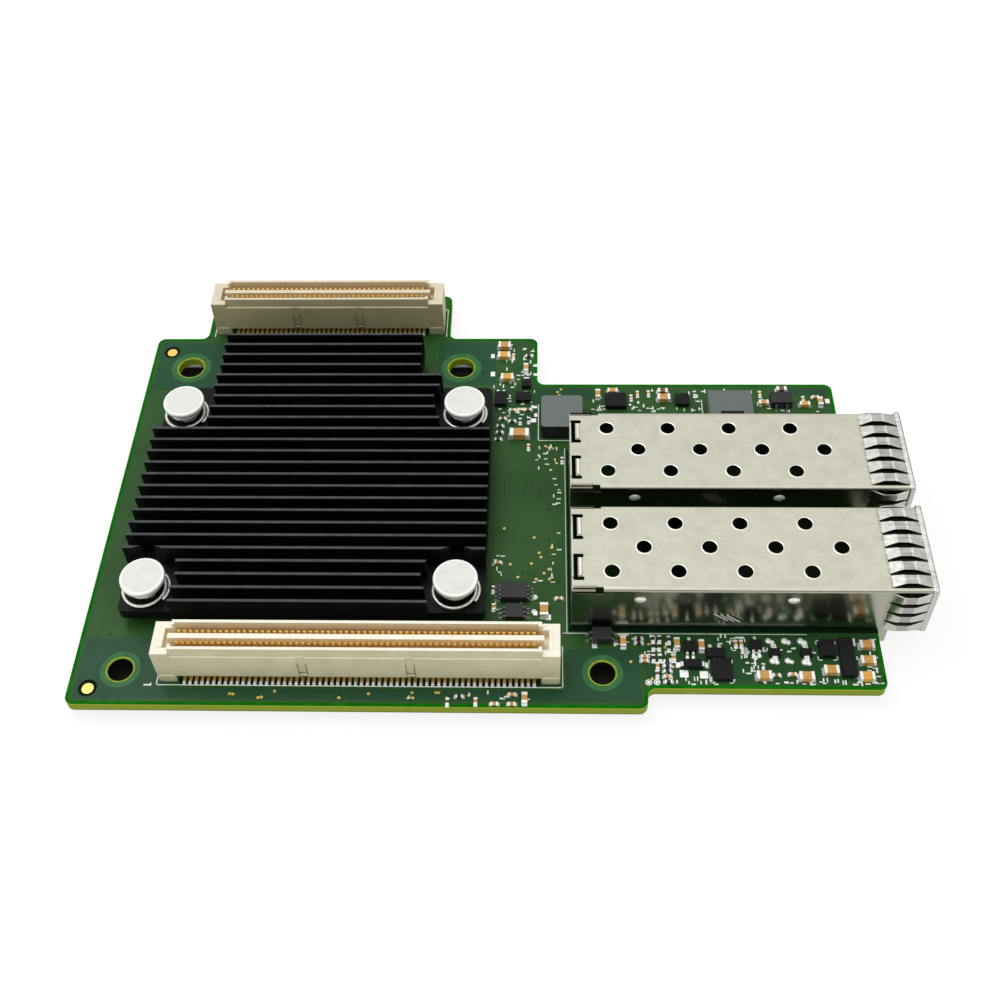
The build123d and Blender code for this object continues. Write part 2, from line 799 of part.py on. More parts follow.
def moulded_inductor():
    """A square moulded power inductor with its upright corners cut off."""
    body = chip_part(step_corner, moulded_inductor_place, moulded_inductor_size)
    return chamfer(body.edges().filter_by(Axis.Z), moulded_inductor_chamfer)


def ferrite_inductor():
    """A ferrite power inductor, its winding window open through the foot."""
    body = chip_part(ports_back, ferrite_inductor_place, ferrite_inductor_size)
    x = ports_back[0] + ferrite_inductor_place[0]
    wide = ferrite_window_width / 2
    narrow = wide - ferrite_window_slope
    window = [
        (x - wide, board_top),
        (x - narrow, board_top + ferrite_window_height),
        (x + narrow, board_top + ferrite_window_height),
        (x + wide, board_top),
    ]
    return body - across_y(window, shelf_front, shelf_back)


def pieces():
    """Every node of the card with its solid or its group of solids."""
    nodes = {
        "circuit_board": circuit_board(),
        "controller_chip": controller_chip(),
        "thermal_pad": thermal_pad(),
        "heat_sink": heat_sink(),
        "push_pins": push_pins(),
        "push_pin_springs": push_pin_springs(),
        "moulded_inductor": moulded_inductor(),
        "ferrite_inductor": ferrite_inductor(),
        "large_capacitors": parts_at(large_capacitor_places),
        "small_capacitors": parts_at(small_capacitor_places),
        "chip_resistors": parts_at(resistor_places),
        "regulator_chips": parts_at(regulator_places),
        "memory_chips": parts_at(memory_places),
        "small_transistors": parts_at(transistor_places),
    }
    front = (front_contacts_per_row, front_connector_x, front_connector_y)
    rear = (rear_contacts_per_row, rear_connector_x, rear_connector_y)
    for name, place, groove in (
        ("front", front, front_groove_offset),
        ("rear", rear, rear_groove_offset),
    ):
        nodes[name + "_connector_housing"] = connector_housing(*place, groove)
        nodes[name + "_connector_contacts"] = connector_contacts(*place)
    per_port = {
        "cage_cover": cage_cover(),
        "cage_floor": cage_floor(),
        "cage_collar": cage_collar(),
        "port_socket": port_socket(),
        "port_contacts": port_contacts(),
    }
    for port in port_places:
        for name, made in per_port.items():
            nodes[port + "_" + name] = at_port(port, made)
    return nodes


def export(nodes):
    """Writes one STEP file per node, in the row's frame."""
    os.makedirs("parts", exist_ok=True)
    shift = Pos(*(-value for value in row_origin))
    for name, made in nodes.items():
        solids = made if isinstance(made, list) else [made]
        group = Compound(children=[shift * solid for solid in solids])
        export_step(group, "parts/" + name + ".step")


export(pieces())
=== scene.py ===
"""Looks of the network card: materials, fine pieces, floor, lights and camera."""

import math
import random
from functools import reduce

import bmesh
import bpy
from mathutils import Matrix, Vector


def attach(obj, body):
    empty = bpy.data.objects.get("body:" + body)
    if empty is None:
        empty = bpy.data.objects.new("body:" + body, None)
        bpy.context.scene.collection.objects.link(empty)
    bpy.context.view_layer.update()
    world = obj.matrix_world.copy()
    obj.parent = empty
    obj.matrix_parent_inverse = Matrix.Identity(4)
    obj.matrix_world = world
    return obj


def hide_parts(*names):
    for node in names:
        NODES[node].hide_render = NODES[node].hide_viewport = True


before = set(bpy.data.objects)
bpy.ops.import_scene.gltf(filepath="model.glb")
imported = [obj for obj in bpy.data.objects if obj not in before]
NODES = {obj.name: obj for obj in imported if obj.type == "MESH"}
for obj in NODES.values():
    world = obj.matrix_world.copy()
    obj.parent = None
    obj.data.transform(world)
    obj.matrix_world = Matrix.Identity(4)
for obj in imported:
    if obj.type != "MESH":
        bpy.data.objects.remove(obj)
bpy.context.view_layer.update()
MM = 0.001
WELD = 0.002 * MM

# Sizes of the card that the looks need, in millimetres from the board's front left corner
MOUTH_X = 116.5
CARD_DEPTH = 78.1
UNDERSIDE_REACH = 1.9
BOARD_TOP = 1.57
BOARD_CORNERS = [
    (0, 0), (78.1, 0), (78.1, 3.04), (110, 3.04), (110, 57.75), (63.2, 57.75),
    (63.2, 68), (48.625, 68), (48.625, 78.1), (8.225, 78.1), (8.225, 68), (0, 68),
]
CORNER_RADIUS = 1.2
BOARD_HOLES = [(6.5, 61.4, 2.25), (50.85, 61.4, 2.25), (6.62, 5.3, 1.95), (72.17, 5.3, 1.95)]
PINS = [(8.9, 16.0), (52.15, 16.0), (8.9, 48.3), (52.15, 48.3)]
PIN_RADIUS = 3.10
HEAD_LOW, HEAD_LIP, HEAD_HIGH = 6.8, 7.35, 8.3
SPRING_RADIUS, SPRING_TOP_RADIUS, SPRING_WIRE = 3.23, 2.25, 0.22
LAND_TOP = 5.0
FIN_TOP = 9.0
CAGE_BACK = 68.0
CAGE_FRONT = 116.3
CAGE_TOP = 11.07
CAGE_HALF = 7.05
CAGE_BEND = 0.5
SHEET = 0.25
VENT_START, VENT_PITCH, VENT_ROW, VENT_RADIUS = 5.45, 8.91, 3.97, 1.02
FINGER_PITCH, FINGER_LENGTH, FINGER_BOW = 2.2, 5.6, 0.60
DIMPLES_X, DIMPLE_Z = (77.2, 97.65), 8.75
TAIL_START, TAIL_PITCH = 2.6, 12.0
PORTS = {"front": 19.3, "rear": 36.5}
CONTACT_PITCH = 0.8
# A board connector's middle, the contacts in a row, and how far out its side marks are
CONNECTORS = {"front": (39.395, 6.15, 60, 7.2), "rear": (28.675, 71.7, 40, 5.2)}


def at(x, y, z):
    """A point of the board's frame, in millimetres, as a point of the row's frame, in metres."""
    return Vector((x - MOUTH_X / 2, y - CARD_DEPTH / 2, z + UNDERSIDE_REACH)) * MM


def on_board(point):
    """A point of the row's frame in the board's frame and millimetres."""
    return Vector(point) / MM + Vector((MOUTH_X / 2, CARD_DEPTH / 2, -UNDERSIDE_REACH))


# materials


class Nodes:
    """A short way to build a node tree. Its coordinates are the board's, in millimetres."""

    def __init__(self, name):
        self.material = bpy.data.materials.new(name)
        self.material.use_nodes = True
        self.tree = self.material.node_tree
        self.shader = self.tree.nodes["Principled BSDF"].inputs
        coords = self.add("ShaderNodeTexCoord")
        place = self.add("ShaderNodeVectorMath", operation="MULTIPLY_ADD")
        self.link(coords.outputs["Object"], place.inputs[0])
        place.inputs[1].default_value = (1000.0, 1000.0, 1000.0)
        place.inputs[2].default_value = (MOUTH_X / 2, CARD_DEPTH / 2, -UNDERSIDE_REACH)
        self.mm = place.outputs[0]
        self.x, self.y, self.z = self.axes(self.mm)

    def add(self, kind, **settings):
        node = self.tree.nodes.new(kind)
        for name, value in settings.items():
            setattr(node, name, value)
        return node

    def link(self, a, b):
        self.tree.links.new(a, b)

    def fill(self, socket, value):
        if isinstance(value, (int, float)):
            socket.default_value = value
        elif isinstance(value, tuple):
            socket.default_value = (*value, 1.0) if len(socket.default_value) == 4 else value
        elif value is not None:
            self.link(value, socket)

    def stretched(self, scale, turn=0.0):
        mapping = self.add("ShaderNodeMapping")
        mapping.inputs["Scale"].default_value = scale
        mapping.inputs["Rotation"].default_value[2] = math.radians(turn)
        self.link(self.mm, mapping.inputs["Vector"])
        return mapping.outputs[0]

    def texture(self, kind, scale, vector=None, **settings):
        node = self.add("ShaderNodeTex" + kind, **settings)
        node.inputs["Scale"].default_value = scale
        self.link(vector or self.mm, node.inputs["Vector"])
        return node

    def noise(self, scale, detail=3.0, rough=0.55, vector=None):
        node = self.texture("Noise", scale, vector)
        node.inputs["Detail"].default_value = detail
        node.inputs["Roughness"].default_value = rough
        return node.outputs["Fac"]

    def wave(self, scale, direction, vector=None, distortion=0.0):
        node = self.texture("Wave", scale, vector, wave_profile="SIN", bands_direction=direction)
        node.inputs["Distortion"].default_value = distortion
        return node.outputs["Fac"]

    def tones(self, value, low, high, start=0.3, end=0.7):
        """A colour that runs from low to high while the value goes from start to end."""
        node = self.add("ShaderNodeValToRGB")
        for stop, place, colour in zip(node.color_ramp.elements, (start, end), (low, high)):
            stop.position = place
            stop.color = (*colour, 1.0)
        self.link(value, node.inputs["Fac"])
        return node.outputs["Color"]

    def span(self, value, start, end, low=0.0, high=1.0):
        """A value carried from one range to another, and held at its ends."""
        node = self.add("ShaderNodeMapRange")
        for name, number in (("From Min", start), ("From Max", end), ("To Min", low), ("To Max", high)):
            node.inputs[name].default_value = number
        self.link(value, node.inputs["Value"])
        return node.outputs["Result"]

    def wander(self, scale, low, high):
        """A number that drifts between two others over the surface."""
        return self.span(self.noise(scale), 0.3, 0.7, low, high)

    def math(self, operation, a, b=None):
        node = self.add("ShaderNodeMath", operation=operation)
        self.fill(node.inputs[0], a)
        self.fill(node.inputs[1], b)
        return node.outputs[0]

    def both(self, *masks):
        return reduce(lambda a, b: self.math("MULTIPLY", a, b), masks)

    def either(self, *masks):
        return reduce(lambda a, b: self.math("MAXIMUM", a, b), masks)

    def patches(self, boxes, soft):
        """A mask of rectangles of the board, given as (x0, y0, x1, y1)."""
        masks = []
        for x0, y0, x1, y1 in boxes:
            along = self.span(self.x, x0 - soft, x0 + soft), self.span(self.x, x1 + soft, x1 - soft)
            across = self.span(self.y, y0 - soft, y0 + soft), self.span(self.y, y1 + soft, y1 - soft)
            masks.append(self.both(*along, *across))
        return self.either(*masks)

    def mix(self, factor, a, b, **settings):
        node = self.add("ShaderNodeMix", data_type="RGBA", **settings)
        for index, value in ((0, factor), (6, a), (7, b)):
            self.fill(node.inputs[index], value)
        return node.outputs[2]

    def axes(self, vector):
        node = self.add("ShaderNodeSeparateXYZ")
        self.link(vector, node.inputs[0])
        return tuple(node.outputs)

    def normal(self):
        return self.axes(self.add("ShaderNodeNewGeometry").outputs["Normal"])

    def finish(self, colour, rough, bump=None, shine=0.5, metal=0.0, **sockets):
        """Links colour, roughness and bump, given as (height, strength, distance), and sets the rest."""
        self.link(colour, self.shader["Base Color"])
        self.link(rough, self.shader["Roughness"])
        self.shader["Specular IOR Level"].default_value = shine
        self.shader["Metallic"].default_value = metal
        for name, value in sockets.items():
            self.shader[name.replace("_", " ")].default_value = value
        if bump:
            height, strength, distance = bump
            node = self.add("ShaderNodeBump")
            node.inputs["Strength"].default_value = strength
            node.inputs["Distance"].default_value = distance * MM
            self.link(height, node.inputs["Height"])
            self.link(node.outputs["Normal"], self.shader["Normal"])
        return self.material


def varied(name, low, high, rough, scale=1.5, bump=0.0, bump_scale=12.0, sides=None, **sockets):
    """A material whose colour and roughness wander a little over the surface; sides may carry painted shade.
    """
    n = Nodes(name)
    colour = n.tones(n.noise(scale), low, high)
    if sides:
        colour = n.mix(n.span(n.normal()[2], 0.45, 0.80), sides, colour)
    grain = (n.noise(bump_scale, 4.0), bump, 0.02) if bump else None
    return n.finish(colour, n.wander(scale * 2.3, rough * 0.85, rough * 1.15), grain, **sockets)


def laminate():
    """Green solder mask over shallow tracks on the faces, and bare laminate round the rim."""
    n = Nodes("board_mask")
    tone = n.noise(0.10, 4.0, 0.6)
    olive = n.tones(tone, (0.019, 0.074, 0.013), (0.030, 0.100, 0.020), 0.35, 0.65)
    teal = n.tones(tone, (0.010, 0.060, 0.024), (0.018, 0.078, 0.034), 0.35, 0.65)
    # copper areas without tracks
    pours = n.patches(
        (
            (0.9, 56.5, 12.2, 67.1), (0.9, 0.9, 13.0, 10.2), (0.9, 0.9, 77.2, 2.6), (47.0, 57.5, 56.5, 67.1),
            (67.3, 0.9, 77.2, 9.0), (64.5, 54.5, 72.0, 56.9), (101.0, 55.4, 109.1, 56.9),
        ),
        0.05,
    )
    masked = n.mix(pours, olive, teal)
    # tracks that change direction from cell to cell
    cells = n.texture("Voronoi", 0.16, distance="CHEBYCHEV")
    choice = n.axes(cells.outputs["Color"])
    turned = [n.wave(0.42, "X", n.stretched((1, 1, 1), turn)) for turn in (0.0, 90.0, 45.0)]
    tracks = [n.span(wave, 0.62, 0.74) for wave in turned]
    lines = n.mix(n.math("GREATER_THAN", choice[0], 0.55), tracks[0], tracks[1])
    lines = n.mix(n.math("GREATER_THAN", choice[1], 0.6), lines, tracks[2])
    routed = n.math("GREATER_THAN", choice[2], 0.45), n.span(n.noise(0.12, 1.0), 0.42, 0.55)
    lines = n.both(lines, *routed, n.span(pours, 1.0, 0.0))
    masked = n.mix(n.both(lines, 0.13), masked, (0.050, 0.150, 0.040))
    # painted shade on the board where the small parts stand close together
    crowded_painted_shade = n.patches(((77.5, 3.8, 109.3, 12.2), (57.0, 46.5, 66.5, 57.0)), 0.8)
    masked = n.mix(n.both(crowded_painted_shade, 0.6), masked, (0.004, 0.056, 0.012))
    vias = n.texture("Voronoi", 0.75)
    chosen = n.math("GREATER_THAN", n.axes(vias.outputs["Color"])[0], 0.72)
    tented = n.both(n.span(vias.outputs["Distance"], 0.30, 0.20), chosen)
    masked = n.mix(n.both(tented, 0.55), masked, (0.008, 0.038, 0.014))
    mottle = n.noise(2.6, 5.0, 0.7)
    masked = n.mix(n.span(mottle, 0.5, 0.8, 0.0, 0.35), masked, (0.012, 0.050, 0.018))
    rim = n.mix(n.wave(1.1, "Z", distortion=0.8), (0.150, 0.225, 0.003), (0.290, 0.350, 0.008))
    # painted highlight along the top of the board's edge, and painted shade along its bottom
    rim = n.mix(n.span(n.z, 1.25, 1.5), rim, (0.330, 0.430, 0.010))
    rim = n.mix(n.span(n.z, 0.3, 0.0), rim, (0.060, 0.110, 0.004))
    scuffs = n.span(n.noise(0.5, 6.0, 0.7, n.stretched((0.5, 0.5, 4.0))), 0.62, 0.72)
    rim = n.mix(n.both(scuffs, 0.5), rim, (0.600, 0.640, 0.330))
    side = n.math("LESS_THAN", n.math("ABSOLUTE", n.normal()[2]), 0.5)
    height = n.math("ADD", n.both(lines, 0.5), n.both(mottle, 0.25))
    rough = n.span(side, 0.0, 1.0, 0.36, 0.62)
    return n.finish(n.mix(side, masked, rim), rough, (height, 0.35, 0.03), shine=0.18)


def anodised():
    """Black anodising, with a painted highlight on the fins' upward-facing tops."""
    n = Nodes("black_anodising")
    facing_up = n.math("GREATER_THAN", n.normal()[2], 0.9)
    top = n.both(facing_up, n.math("GREATER_THAN", n.z, FIN_TOP - 0.08))
    dark = n.tones(n.noise(2.2, 4.0), (0.0016, 0.0016, 0.0018), (0.004, 0.004, 0.0045))
    # painted highlight on the fins' tops
    fin_top_highlight = n.tones(n.noise(0.7, 5.0), (0.042, 0.046, 0.049), (0.070, 0.075, 0.079))
    grain = (n.noise(9.0, 4.0), 0.25, 0.015)
    return n.finish(n.mix(top, dark, fin_top_highlight), n.wander(5.0, 0.34, 0.46), grain, shine=0.16)


def sheet_metal(name, low, high, rough, streak=0.35, wall=1.0):
    """Plated sheet metal with faint rolling streaks along X and small stains; wall darkens its sides with
    painted shade.
    """
    n = Nodes(name)
    streaks = n.noise(1.0, 5.0, 0.6, n.stretched((0.12, 3.0, 3.0)))
    stains = n.noise(0.5, 5.0, 0.6)
    tone = n.math("ADD", n.both(streaks, streak), n.both(stains, 1.0 - streak))
    sides = n.span(n.math("ABSOLUTE", n.normal()[1]), 0.75, 0.95)
    # painted shade on the faces that look along Y
    shaded = tuple(v * wall for v in low)
    colour = n.mix(sides, n.tones(tone, low, high, 0.38, 0.60), shaded)
    spread = n.span(streaks, 0.3, 0.7, rough * 0.8, rough * 1.25)
    height = n.math("ADD", n.both(streaks, 0.4), n.both(n.noise(0.2, 1.0), 0.8))
    rough = n.math("ADD", spread, n.both(sides, (1.0 - wall) * 0.1))
    return n.finish(colour, rough, (height, 0.05, 0.02), metal=1.0)


def moulded_ivory():
    """Ivory plastic with painted light: paler where it faces up, warmer on the upper inner walls, and amber
    low in the slot between the contacts as a painted reflection of their gold.
    """
    n = Nodes("ivory_plastic")
    up = n.normal()[2]
    tone = n.noise(0.35, 4.0)
    face = n.tones(tone, (0.560, 0.520, 0.330), (0.640, 0.600, 0.400))
    pale = n.tones(tone, (0.890, 0.850, 0.710), (0.960, 0.930, 0.800))
    amber = n.tones(tone, (0.780, 0.590, 0.330), (0.860, 0.690, 0.430))
    painted_inner_light = n.tones(tone, (0.930, 0.800, 0.540), (0.960, 0.850, 0.620))
    cores, slots = [], []
    for x, y, count, _ in CONNECTORS.values():
        row = count * CONTACT_PITCH / 2
        along = n.math("ABSOLUTE", n.math("SUBTRACT", n.x, x))
        across = n.math("ABSOLUTE", n.math("SUBTRACT", n.y, y))
        cores.append(n.both(n.span(across, 1.95, 1.86), n.span(along, row + 2.2, row + 2.05)))
        slots.append(n.both(cores[-1], n.span(along, row + 0.6, row + 0.3)))
    off_board = n.span(n.z, 4.0, 4.4)
    slot = n.both(n.either(*slots), n.span(n.z, 8.1, 7.6))
    inner = n.both(n.either(*cores), n.span(slot, 1.0, 0.0))
    # painted light on the inner walls above the slot
    lit = n.both(inner, off_board, n.span(n.z, 9.25, 9.1), n.span(up, 0.8, 0.45))
    # painted light: faces that look up are paler than the rest
    plastic = n.mix(n.span(up, 0.45, 0.8), face, pale)
    plastic = n.mix(lit, plastic, painted_inner_light)
    # painted amber reflection of the gold contacts low in the slot
    plastic = n.mix(n.both(slot, off_board), plastic, amber)
    # painted shade dulls the connector at the back
    plastic = n.mix(n.span(n.y, 60.0, 61.0), plastic, (0.78, 0.74, 0.66), blend_type="MULTIPLY")
    depth = {"Subsurface_Weight": 0.10, "Subsurface_Scale": 0.0008}
    grain = (n.noise(7.0, 5.0), 0.12, 0.02)
    return n.finish(plastic, n.wander(1.4, 0.36, 0.50), grain, shine=0.35, **depth)


MATERIALS = {
    "mask": laminate(),
    # a painted highlight along the board's top edge
    "rim": varied("mask_edge_painted_highlight", (0.001, 0.110, 0.001), (0.008, 0.175, 0.004), 0.5, 0.5, 0.1, shine=0.02),
    "ring": varied("ring_under_mask", (0.024, 0.125, 0.036), (0.04, 0.16, 0.05), 0.4, 1.0, 0.1, shine=0.2),
    "ring_edge": varied("hole_edge", (0.23, 0.33, 0.01), (0.36, 0.45, 0.03), 0.5, 1.5, 0.1, shine=0.2),
    # bare clearance round the fiducials, and painted shade on the front holes' walls
    "clear_and_hole_shade": varied("clearance_and_painted_hole_shade", (0.003, 0.004, 0.003), (0.006, 0.009, 0.006), 0.6, 2.0, 0.1, shine=0.05),
    # painted shade in strips on the board beside the connectors' feet and the cages' walls
    "shade": varied(
        "painted_shade_strip", (0.001, 0.010, 0.004), (0.003, 0.022, 0.008), 0.6, 2.0, 0.1, shine=0.05
    ),
    # painted shadow standing for grooves in the ivory plastic
    "groove": varied("painted_groove_shadow", (0.13, 0.115, 0.06), (0.19, 0.17, 0.10), 0.6, 2.0, 0.1, shine=0.1),
    "anodised": anodised(),
    "ivory": moulded_ivory(),
    "gold": varied("gold_plating", (0.95, 0.56, 0.10), (1.0, 0.70, 0.20), 0.3, 4.0, 0.15, metal=0.55),
    "pad_gold": varied("gold_flash", (0.92, 0.58, 0.09), (1.0, 0.78, 0.22), 0.35, 1.5, 0.2, metal=0.6),
    "tin": varied("tinned_ends", (0.90, 0.90, 0.88), (1.0, 1.0, 0.99), 0.36, 5.0, 0.3, metal=0.45),
    "solder": varied("solder", (0.94, 0.94, 0.93), (1.0, 1.0, 1.0), 0.32, 6.0, 0.35, metal=0.45),
    "lead": varied("dull_lead", (0.10, 0.10, 0.10), (0.22, 0.22, 0.21), 0.4, 5.0, 0.2, metal=0.5),
    "spring": varied("spring_wire", (0.86, 0.84, 0.78), (1.0, 0.99, 0.95), 0.22, 2.0, 0.05, metal=0.6),
    "package": varied(
        "black_package", (0.018, 0.018, 0.019), (0.030, 0.030, 0.031), 0.5, 2.0, 0.35, 25.0, shine=0.35
    ),
    "package_dark": varied(
        "dark_package", (0.006, 0.006, 0.007), (0.013, 0.013, 0.014), 0.5, 2.0, 0.35, 25.0, shine=0.15
    ),
    "pad": varied("grey_pad", (0.30, 0.31, 0.32), (0.38, 0.39, 0.40), 0.8, 1.0, 0.2),
    "nylon": varied(
        "white_nylon", (0.74, 0.745, 0.71), (0.81, 0.815, 0.78), 0.42, 0.8, 0.06, shine=0.3,
        Subsurface_Weight=0.2, Subsurface_Scale=0.001,
    ),
    "nylon_painted_rim_highlight": varied(
        "white_nylon_painted_rim_highlight", (0.93, 0.93, 0.91), (0.98, 0.98, 0.96), 0.35, 0.8, 0.04, shine=0.4
    ),
    "cage": sheet_metal("cage_sheet", (0.615, 0.600, 0.490), (0.690, 0.675, 0.560), 0.16, 0.25, wall=0.60),
    # painted shade: the cage's floor in a darker copy of its metal
    "cage_inner_painted_shade": sheet_metal("cage_inner_painted_shade_sheet", (0.10, 0.097, 0.080), (0.14, 0.136, 0.115), 0.35),
    # a brighter copy of the cover's metal: painted highlight on edges, lips and bars
    "cage_rim_painted_highlight": sheet_metal("cage_rim_painted_highlight", (0.84, 0.83, 0.78), (0.95, 0.94, 0.90), 0.35),
    "collar": sheet_metal("collar_sheet", (0.62, 0.61, 0.57), (0.96, 0.95, 0.90), 0.13, 0.5, wall=0.8),
    # painted shade on the fingers' tips and middles
    "collar_painted_shade": sheet_metal("collar_middle_painted_shade", (0.34, 0.33, 0.30), (0.66, 0.65, 0.61), 0.18, 0.5),
    # painted shadow in the gaps under the collar's fingers and in the cover's seams and slits
    "gap_painted_shadow": sheet_metal("painted_shadow_lining", (0.012, 0.011, 0.008), (0.035, 0.032, 0.022), 0.45),
    "socket": varied("socket_plastic", (0.004, 0.004, 0.004), (0.01, 0.01, 0.01), 0.5, 1.0, 0.1, shine=0.15),
    # painted shade on the inductor's sides
    "iron": varied(
        "pressed_iron", (0.115, 0.140, 0.135), (0.165, 0.190, 0.185), 0.5, 6.0, 0.5, 18.0,
        sides=(0.012, 0.014, 0.013), shine=0.3,
    ),
    "ferrite": varied("ferrite", (0.105, 0.13, 0.125), (0.16, 0.185, 0.18), 0.5, 5.0, 0.45, 16.0, shine=0.3),
    "tan": varied("tan_ceramic", (0.52, 0.26, 0.06), (0.68, 0.38, 0.12), 0.4, 3.0, 0.15, shine=0.3),
    "amber": varied("amber_ceramic", (0.66, 0.33, 0.045), (0.80, 0.45, 0.09), 0.4, 3.0, 0.15, shine=0.3),
    "brown": varied("brown_ceramic", (0.13, 0.075, 0.04), (0.20, 0.12, 0.07), 0.4, 3.0, 0.15),
    "resistor": varied("resistor_top", (0.012, 0.012, 0.014), (0.025, 0.025, 0.028), 0.3, 3.0),
    "silk": varied("white_print", (0.66, 0.72, 0.66), (0.92, 0.96, 0.92), 0.6, 6.0, 0.2),
    "lamp": varied("yellow_lens", (0.75, 0.55, 0.12), (0.85, 0.68, 0.22), 0.2, 3.0),
}


def dress(node, key):
    """Gives a CAD node its finished material."""
    slots = NODES[node].data.materials
    if len(slots):
        for i in range(len(slots)):
            slots[i] = MATERIALS[key]
    else:
        slots.append(MATERIALS[key])


# meshes


def linked(name, data):
    """A new object of the scene."""
    made = bpy.data.objects.new(name, data)
    bpy.context.scene.collection.objects.link(made)
    return made


def new_object(name, bm):
    """An object from mesh code, its faces turned outwards."""
    mesh = bpy.data.meshes.new(name)
    bmesh.ops.recalc_face_normals(bm, faces=bm.faces)
    bm.to_mesh(mesh)
    bm.free()
    return linked(name, mesh)


def make_piece(name, bm, keys, replaces=(), smooth=False):
    """A piece of the card with its materials, standing for the CAD nodes that it replaces."""
    piece = new_object(name, bm)
    if smooth:
        piece.data.polygons.foreach_set("use_smooth", [True] * len(piece.data.polygons))
    for key in keys:
        piece.data.materials.append(MATERIALS[key])
    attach(piece, "root")
    if replaces:
        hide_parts(*replaces)
    return piece


def bevel(bm, edges, width, segments=2, material=-1, clamp=True):
    return bmesh.ops.bevel(
        bm, geom=edges, offset=width * MM, offset_type="OFFSET", segments=segments, profile=0.6,
        affect="EDGES", clamp_overlap=clamp, material=material,
    )


def ease_edges(bm, width, segments=2, angle=35.0, material=-1):
    """Rounds the edges that turn by more than an angle."""
    sharp = [e for e in bm.edges if len(e.link_faces) == 2 and e.calc_face_angle(0) > math.radians(angle)]
    bevel(bm, sharp, width, segments, material)


def join_flat_faces(bm, angle):
    bmesh.ops.dissolve_limit(
        bm, angle_limit=math.radians(angle), verts=bm.verts, edges=bm.edges, delimit={"NORMAL"}
    )


def node_mesh(node):
    """A CAD node's mesh to work on, its doubled vertices joined."""
    bm = bmesh.new()
    bm.from_mesh(NODES[node].data)
    bmesh.ops.remove_doubles(bm, verts=bm.verts, dist=WELD)
    return bm


def eased_copy(node, key, width, segments=2):
    """A copy of a CAD node with its sharp edges eased, standing for the node."""
    bm = node_mesh(node)
    join_flat_faces(bm, 1.0)
    for f in bm.faces:
        f.material_index = 0
    ease_edges(bm, width, segments)
    return make_piece("eased_" + node, bm, [key], [node])


def add_box(bm, a, b, material=0, ease=0.0, top_scale=1.0):
    """A box between two corners given in the board's frame, its top drawn in by a share."""
    low, high = at(*map(min, a, b)), at(*map(max, a, b))
    made = bmesh.ops.create_cube(bm, size=1.0)["verts"]
    for v in made:
        shrink = top_scale if v.co.z > 0 else 1.0
        share = (v.co.x * shrink + 0.5, v.co.y * shrink + 0.5, v.co.z + 0.5)
        v.co = Vector([low[i] + (high[i] - low[i]) * share[i] for i in range(3)])
    for f in {f for v in made for f in v.link_faces}:
        f.material_index = material
    if ease:
        edges = list({e for v in made for e in v.link_edges})
        for f in bevel(bm, edges, ease, material=material, clamp=False)["faces"]:
            f.material_index = material


def ring_of(bm, points, z):
    return [bm.verts.new(at(x, y, z)) for x, y in points]


def skin(bm, rings, materials=0):
    """The faces between rings of vertices, where a ring may be a single point."""
    if isinstance(materials, int):
        materials = [materials] * len(rings)
    faces = []
    for a, b, material in zip(rings, rings[1:], materials):
        sides = max(len(a), len(b))
        for i in range(sides):
            j = (i + 1) % sides
            corners = [a[i % len(a)], a[j % len(a)], b[j % len(b)], b[i % len(b)]]
            faces.append(bm.faces.new([v for k, v in enumerate(corners) if v not in corners[:k]]))
            faces[-1].material_index = material
    return faces


def prism(bm, points, low, high, material=0):
    """A flat outline of the board's frame raised between two heights."""
    rings = [ring_of(bm, points, z) for z in (low, high)]
    for ring in (rings[0][::-1], rings[1]):
        bm.faces.new(ring).material_index = material
    skin(bm, rings, material)


def circle(x, y, radius, sides=48):
    turn = 2 * math.pi / sides
    return [(x + radius * math.cos(i * turn), y + radius * math.sin(i * turn)) for i in range(sides)]


def rectangle(x0, y0, x1, y1):
    return [(x0, y0), (x1, y0), (x1, y1), (x0, y1)]


def band(bm, outer, inner, z, material=0):
    """A flat band between two outlines that have the same number of points."""
    skin(bm, [ring_of(bm, outer, z), ring_of(bm, inner, z)], material)


def ring_band(bm, x, y, outer, inner, z, material, sides=48):
    band(bm, circle(x, y, outer, sides), circle(x, y, inner, sides), z, material)


def flat(bm, points, z, material=0):
    bm.faces.new(ring_of(bm, points, z)).material_index = material


def stroke(bm, points, width, z, material=0):
    """A printed line through points of the board."""
    for (x0, y0), (x1, y1) in zip(points, points[1:]):
        along = Vector((x1 - x0, y1 - y0)).normalized() * width / 2
        across = Vector((-along.y, along.x))
        corners = [
            (x0 - along.x + across.x, y0 - along.y + across.y),
            (x0 - along.x - across.x, y0 - along.y - across.y),
            (x1 + along.x - across.x, y1 + along.y - across.y),
            (x1 + along.x + across.x, y1 + along.y + across.y),
        ]
        flat(bm, corners, z, material)


def solids(node):
    """The boxes of a CAD node's separate solids, in the board's frame, as (low, high)."""
    bm = node_mesh(node)
    seen, boxes = set(), []
    for start in bm.verts:
        if start in seen:
            continue
        stack, group = [start], []
        seen.add(start)
        while stack:
            v = stack.pop()
            group.append(on_board(v.co))
            for other in [e.other_vert(v) for e in v.link_edges]:
                if other not in seen:
                    seen.add(other)
                    stack.append(other)
        boxes.append([Vector([pick(p[i] for p in group) for i in range(3)]) for pick in (min, max)])
    bm.free()
    return sorted(boxes, key=lambda pair: (round(pair[0].x, 2), round(pair[0].y, 2)))


def lathe(bm, centre, profile, sides=48, material=0):
    """A round body from a profile of (radius, height) points."""
    rings = []
    for radius, z in profile:
        rings.append(ring_of(bm, circle(*centre, radius, sides) if radius else [centre], z))
    skin(bm, rings, material)


def heading(path, i):
    return (path[min(i + 1, len(path) - 1)] - path[max(i - 1, 0)]).normalized()


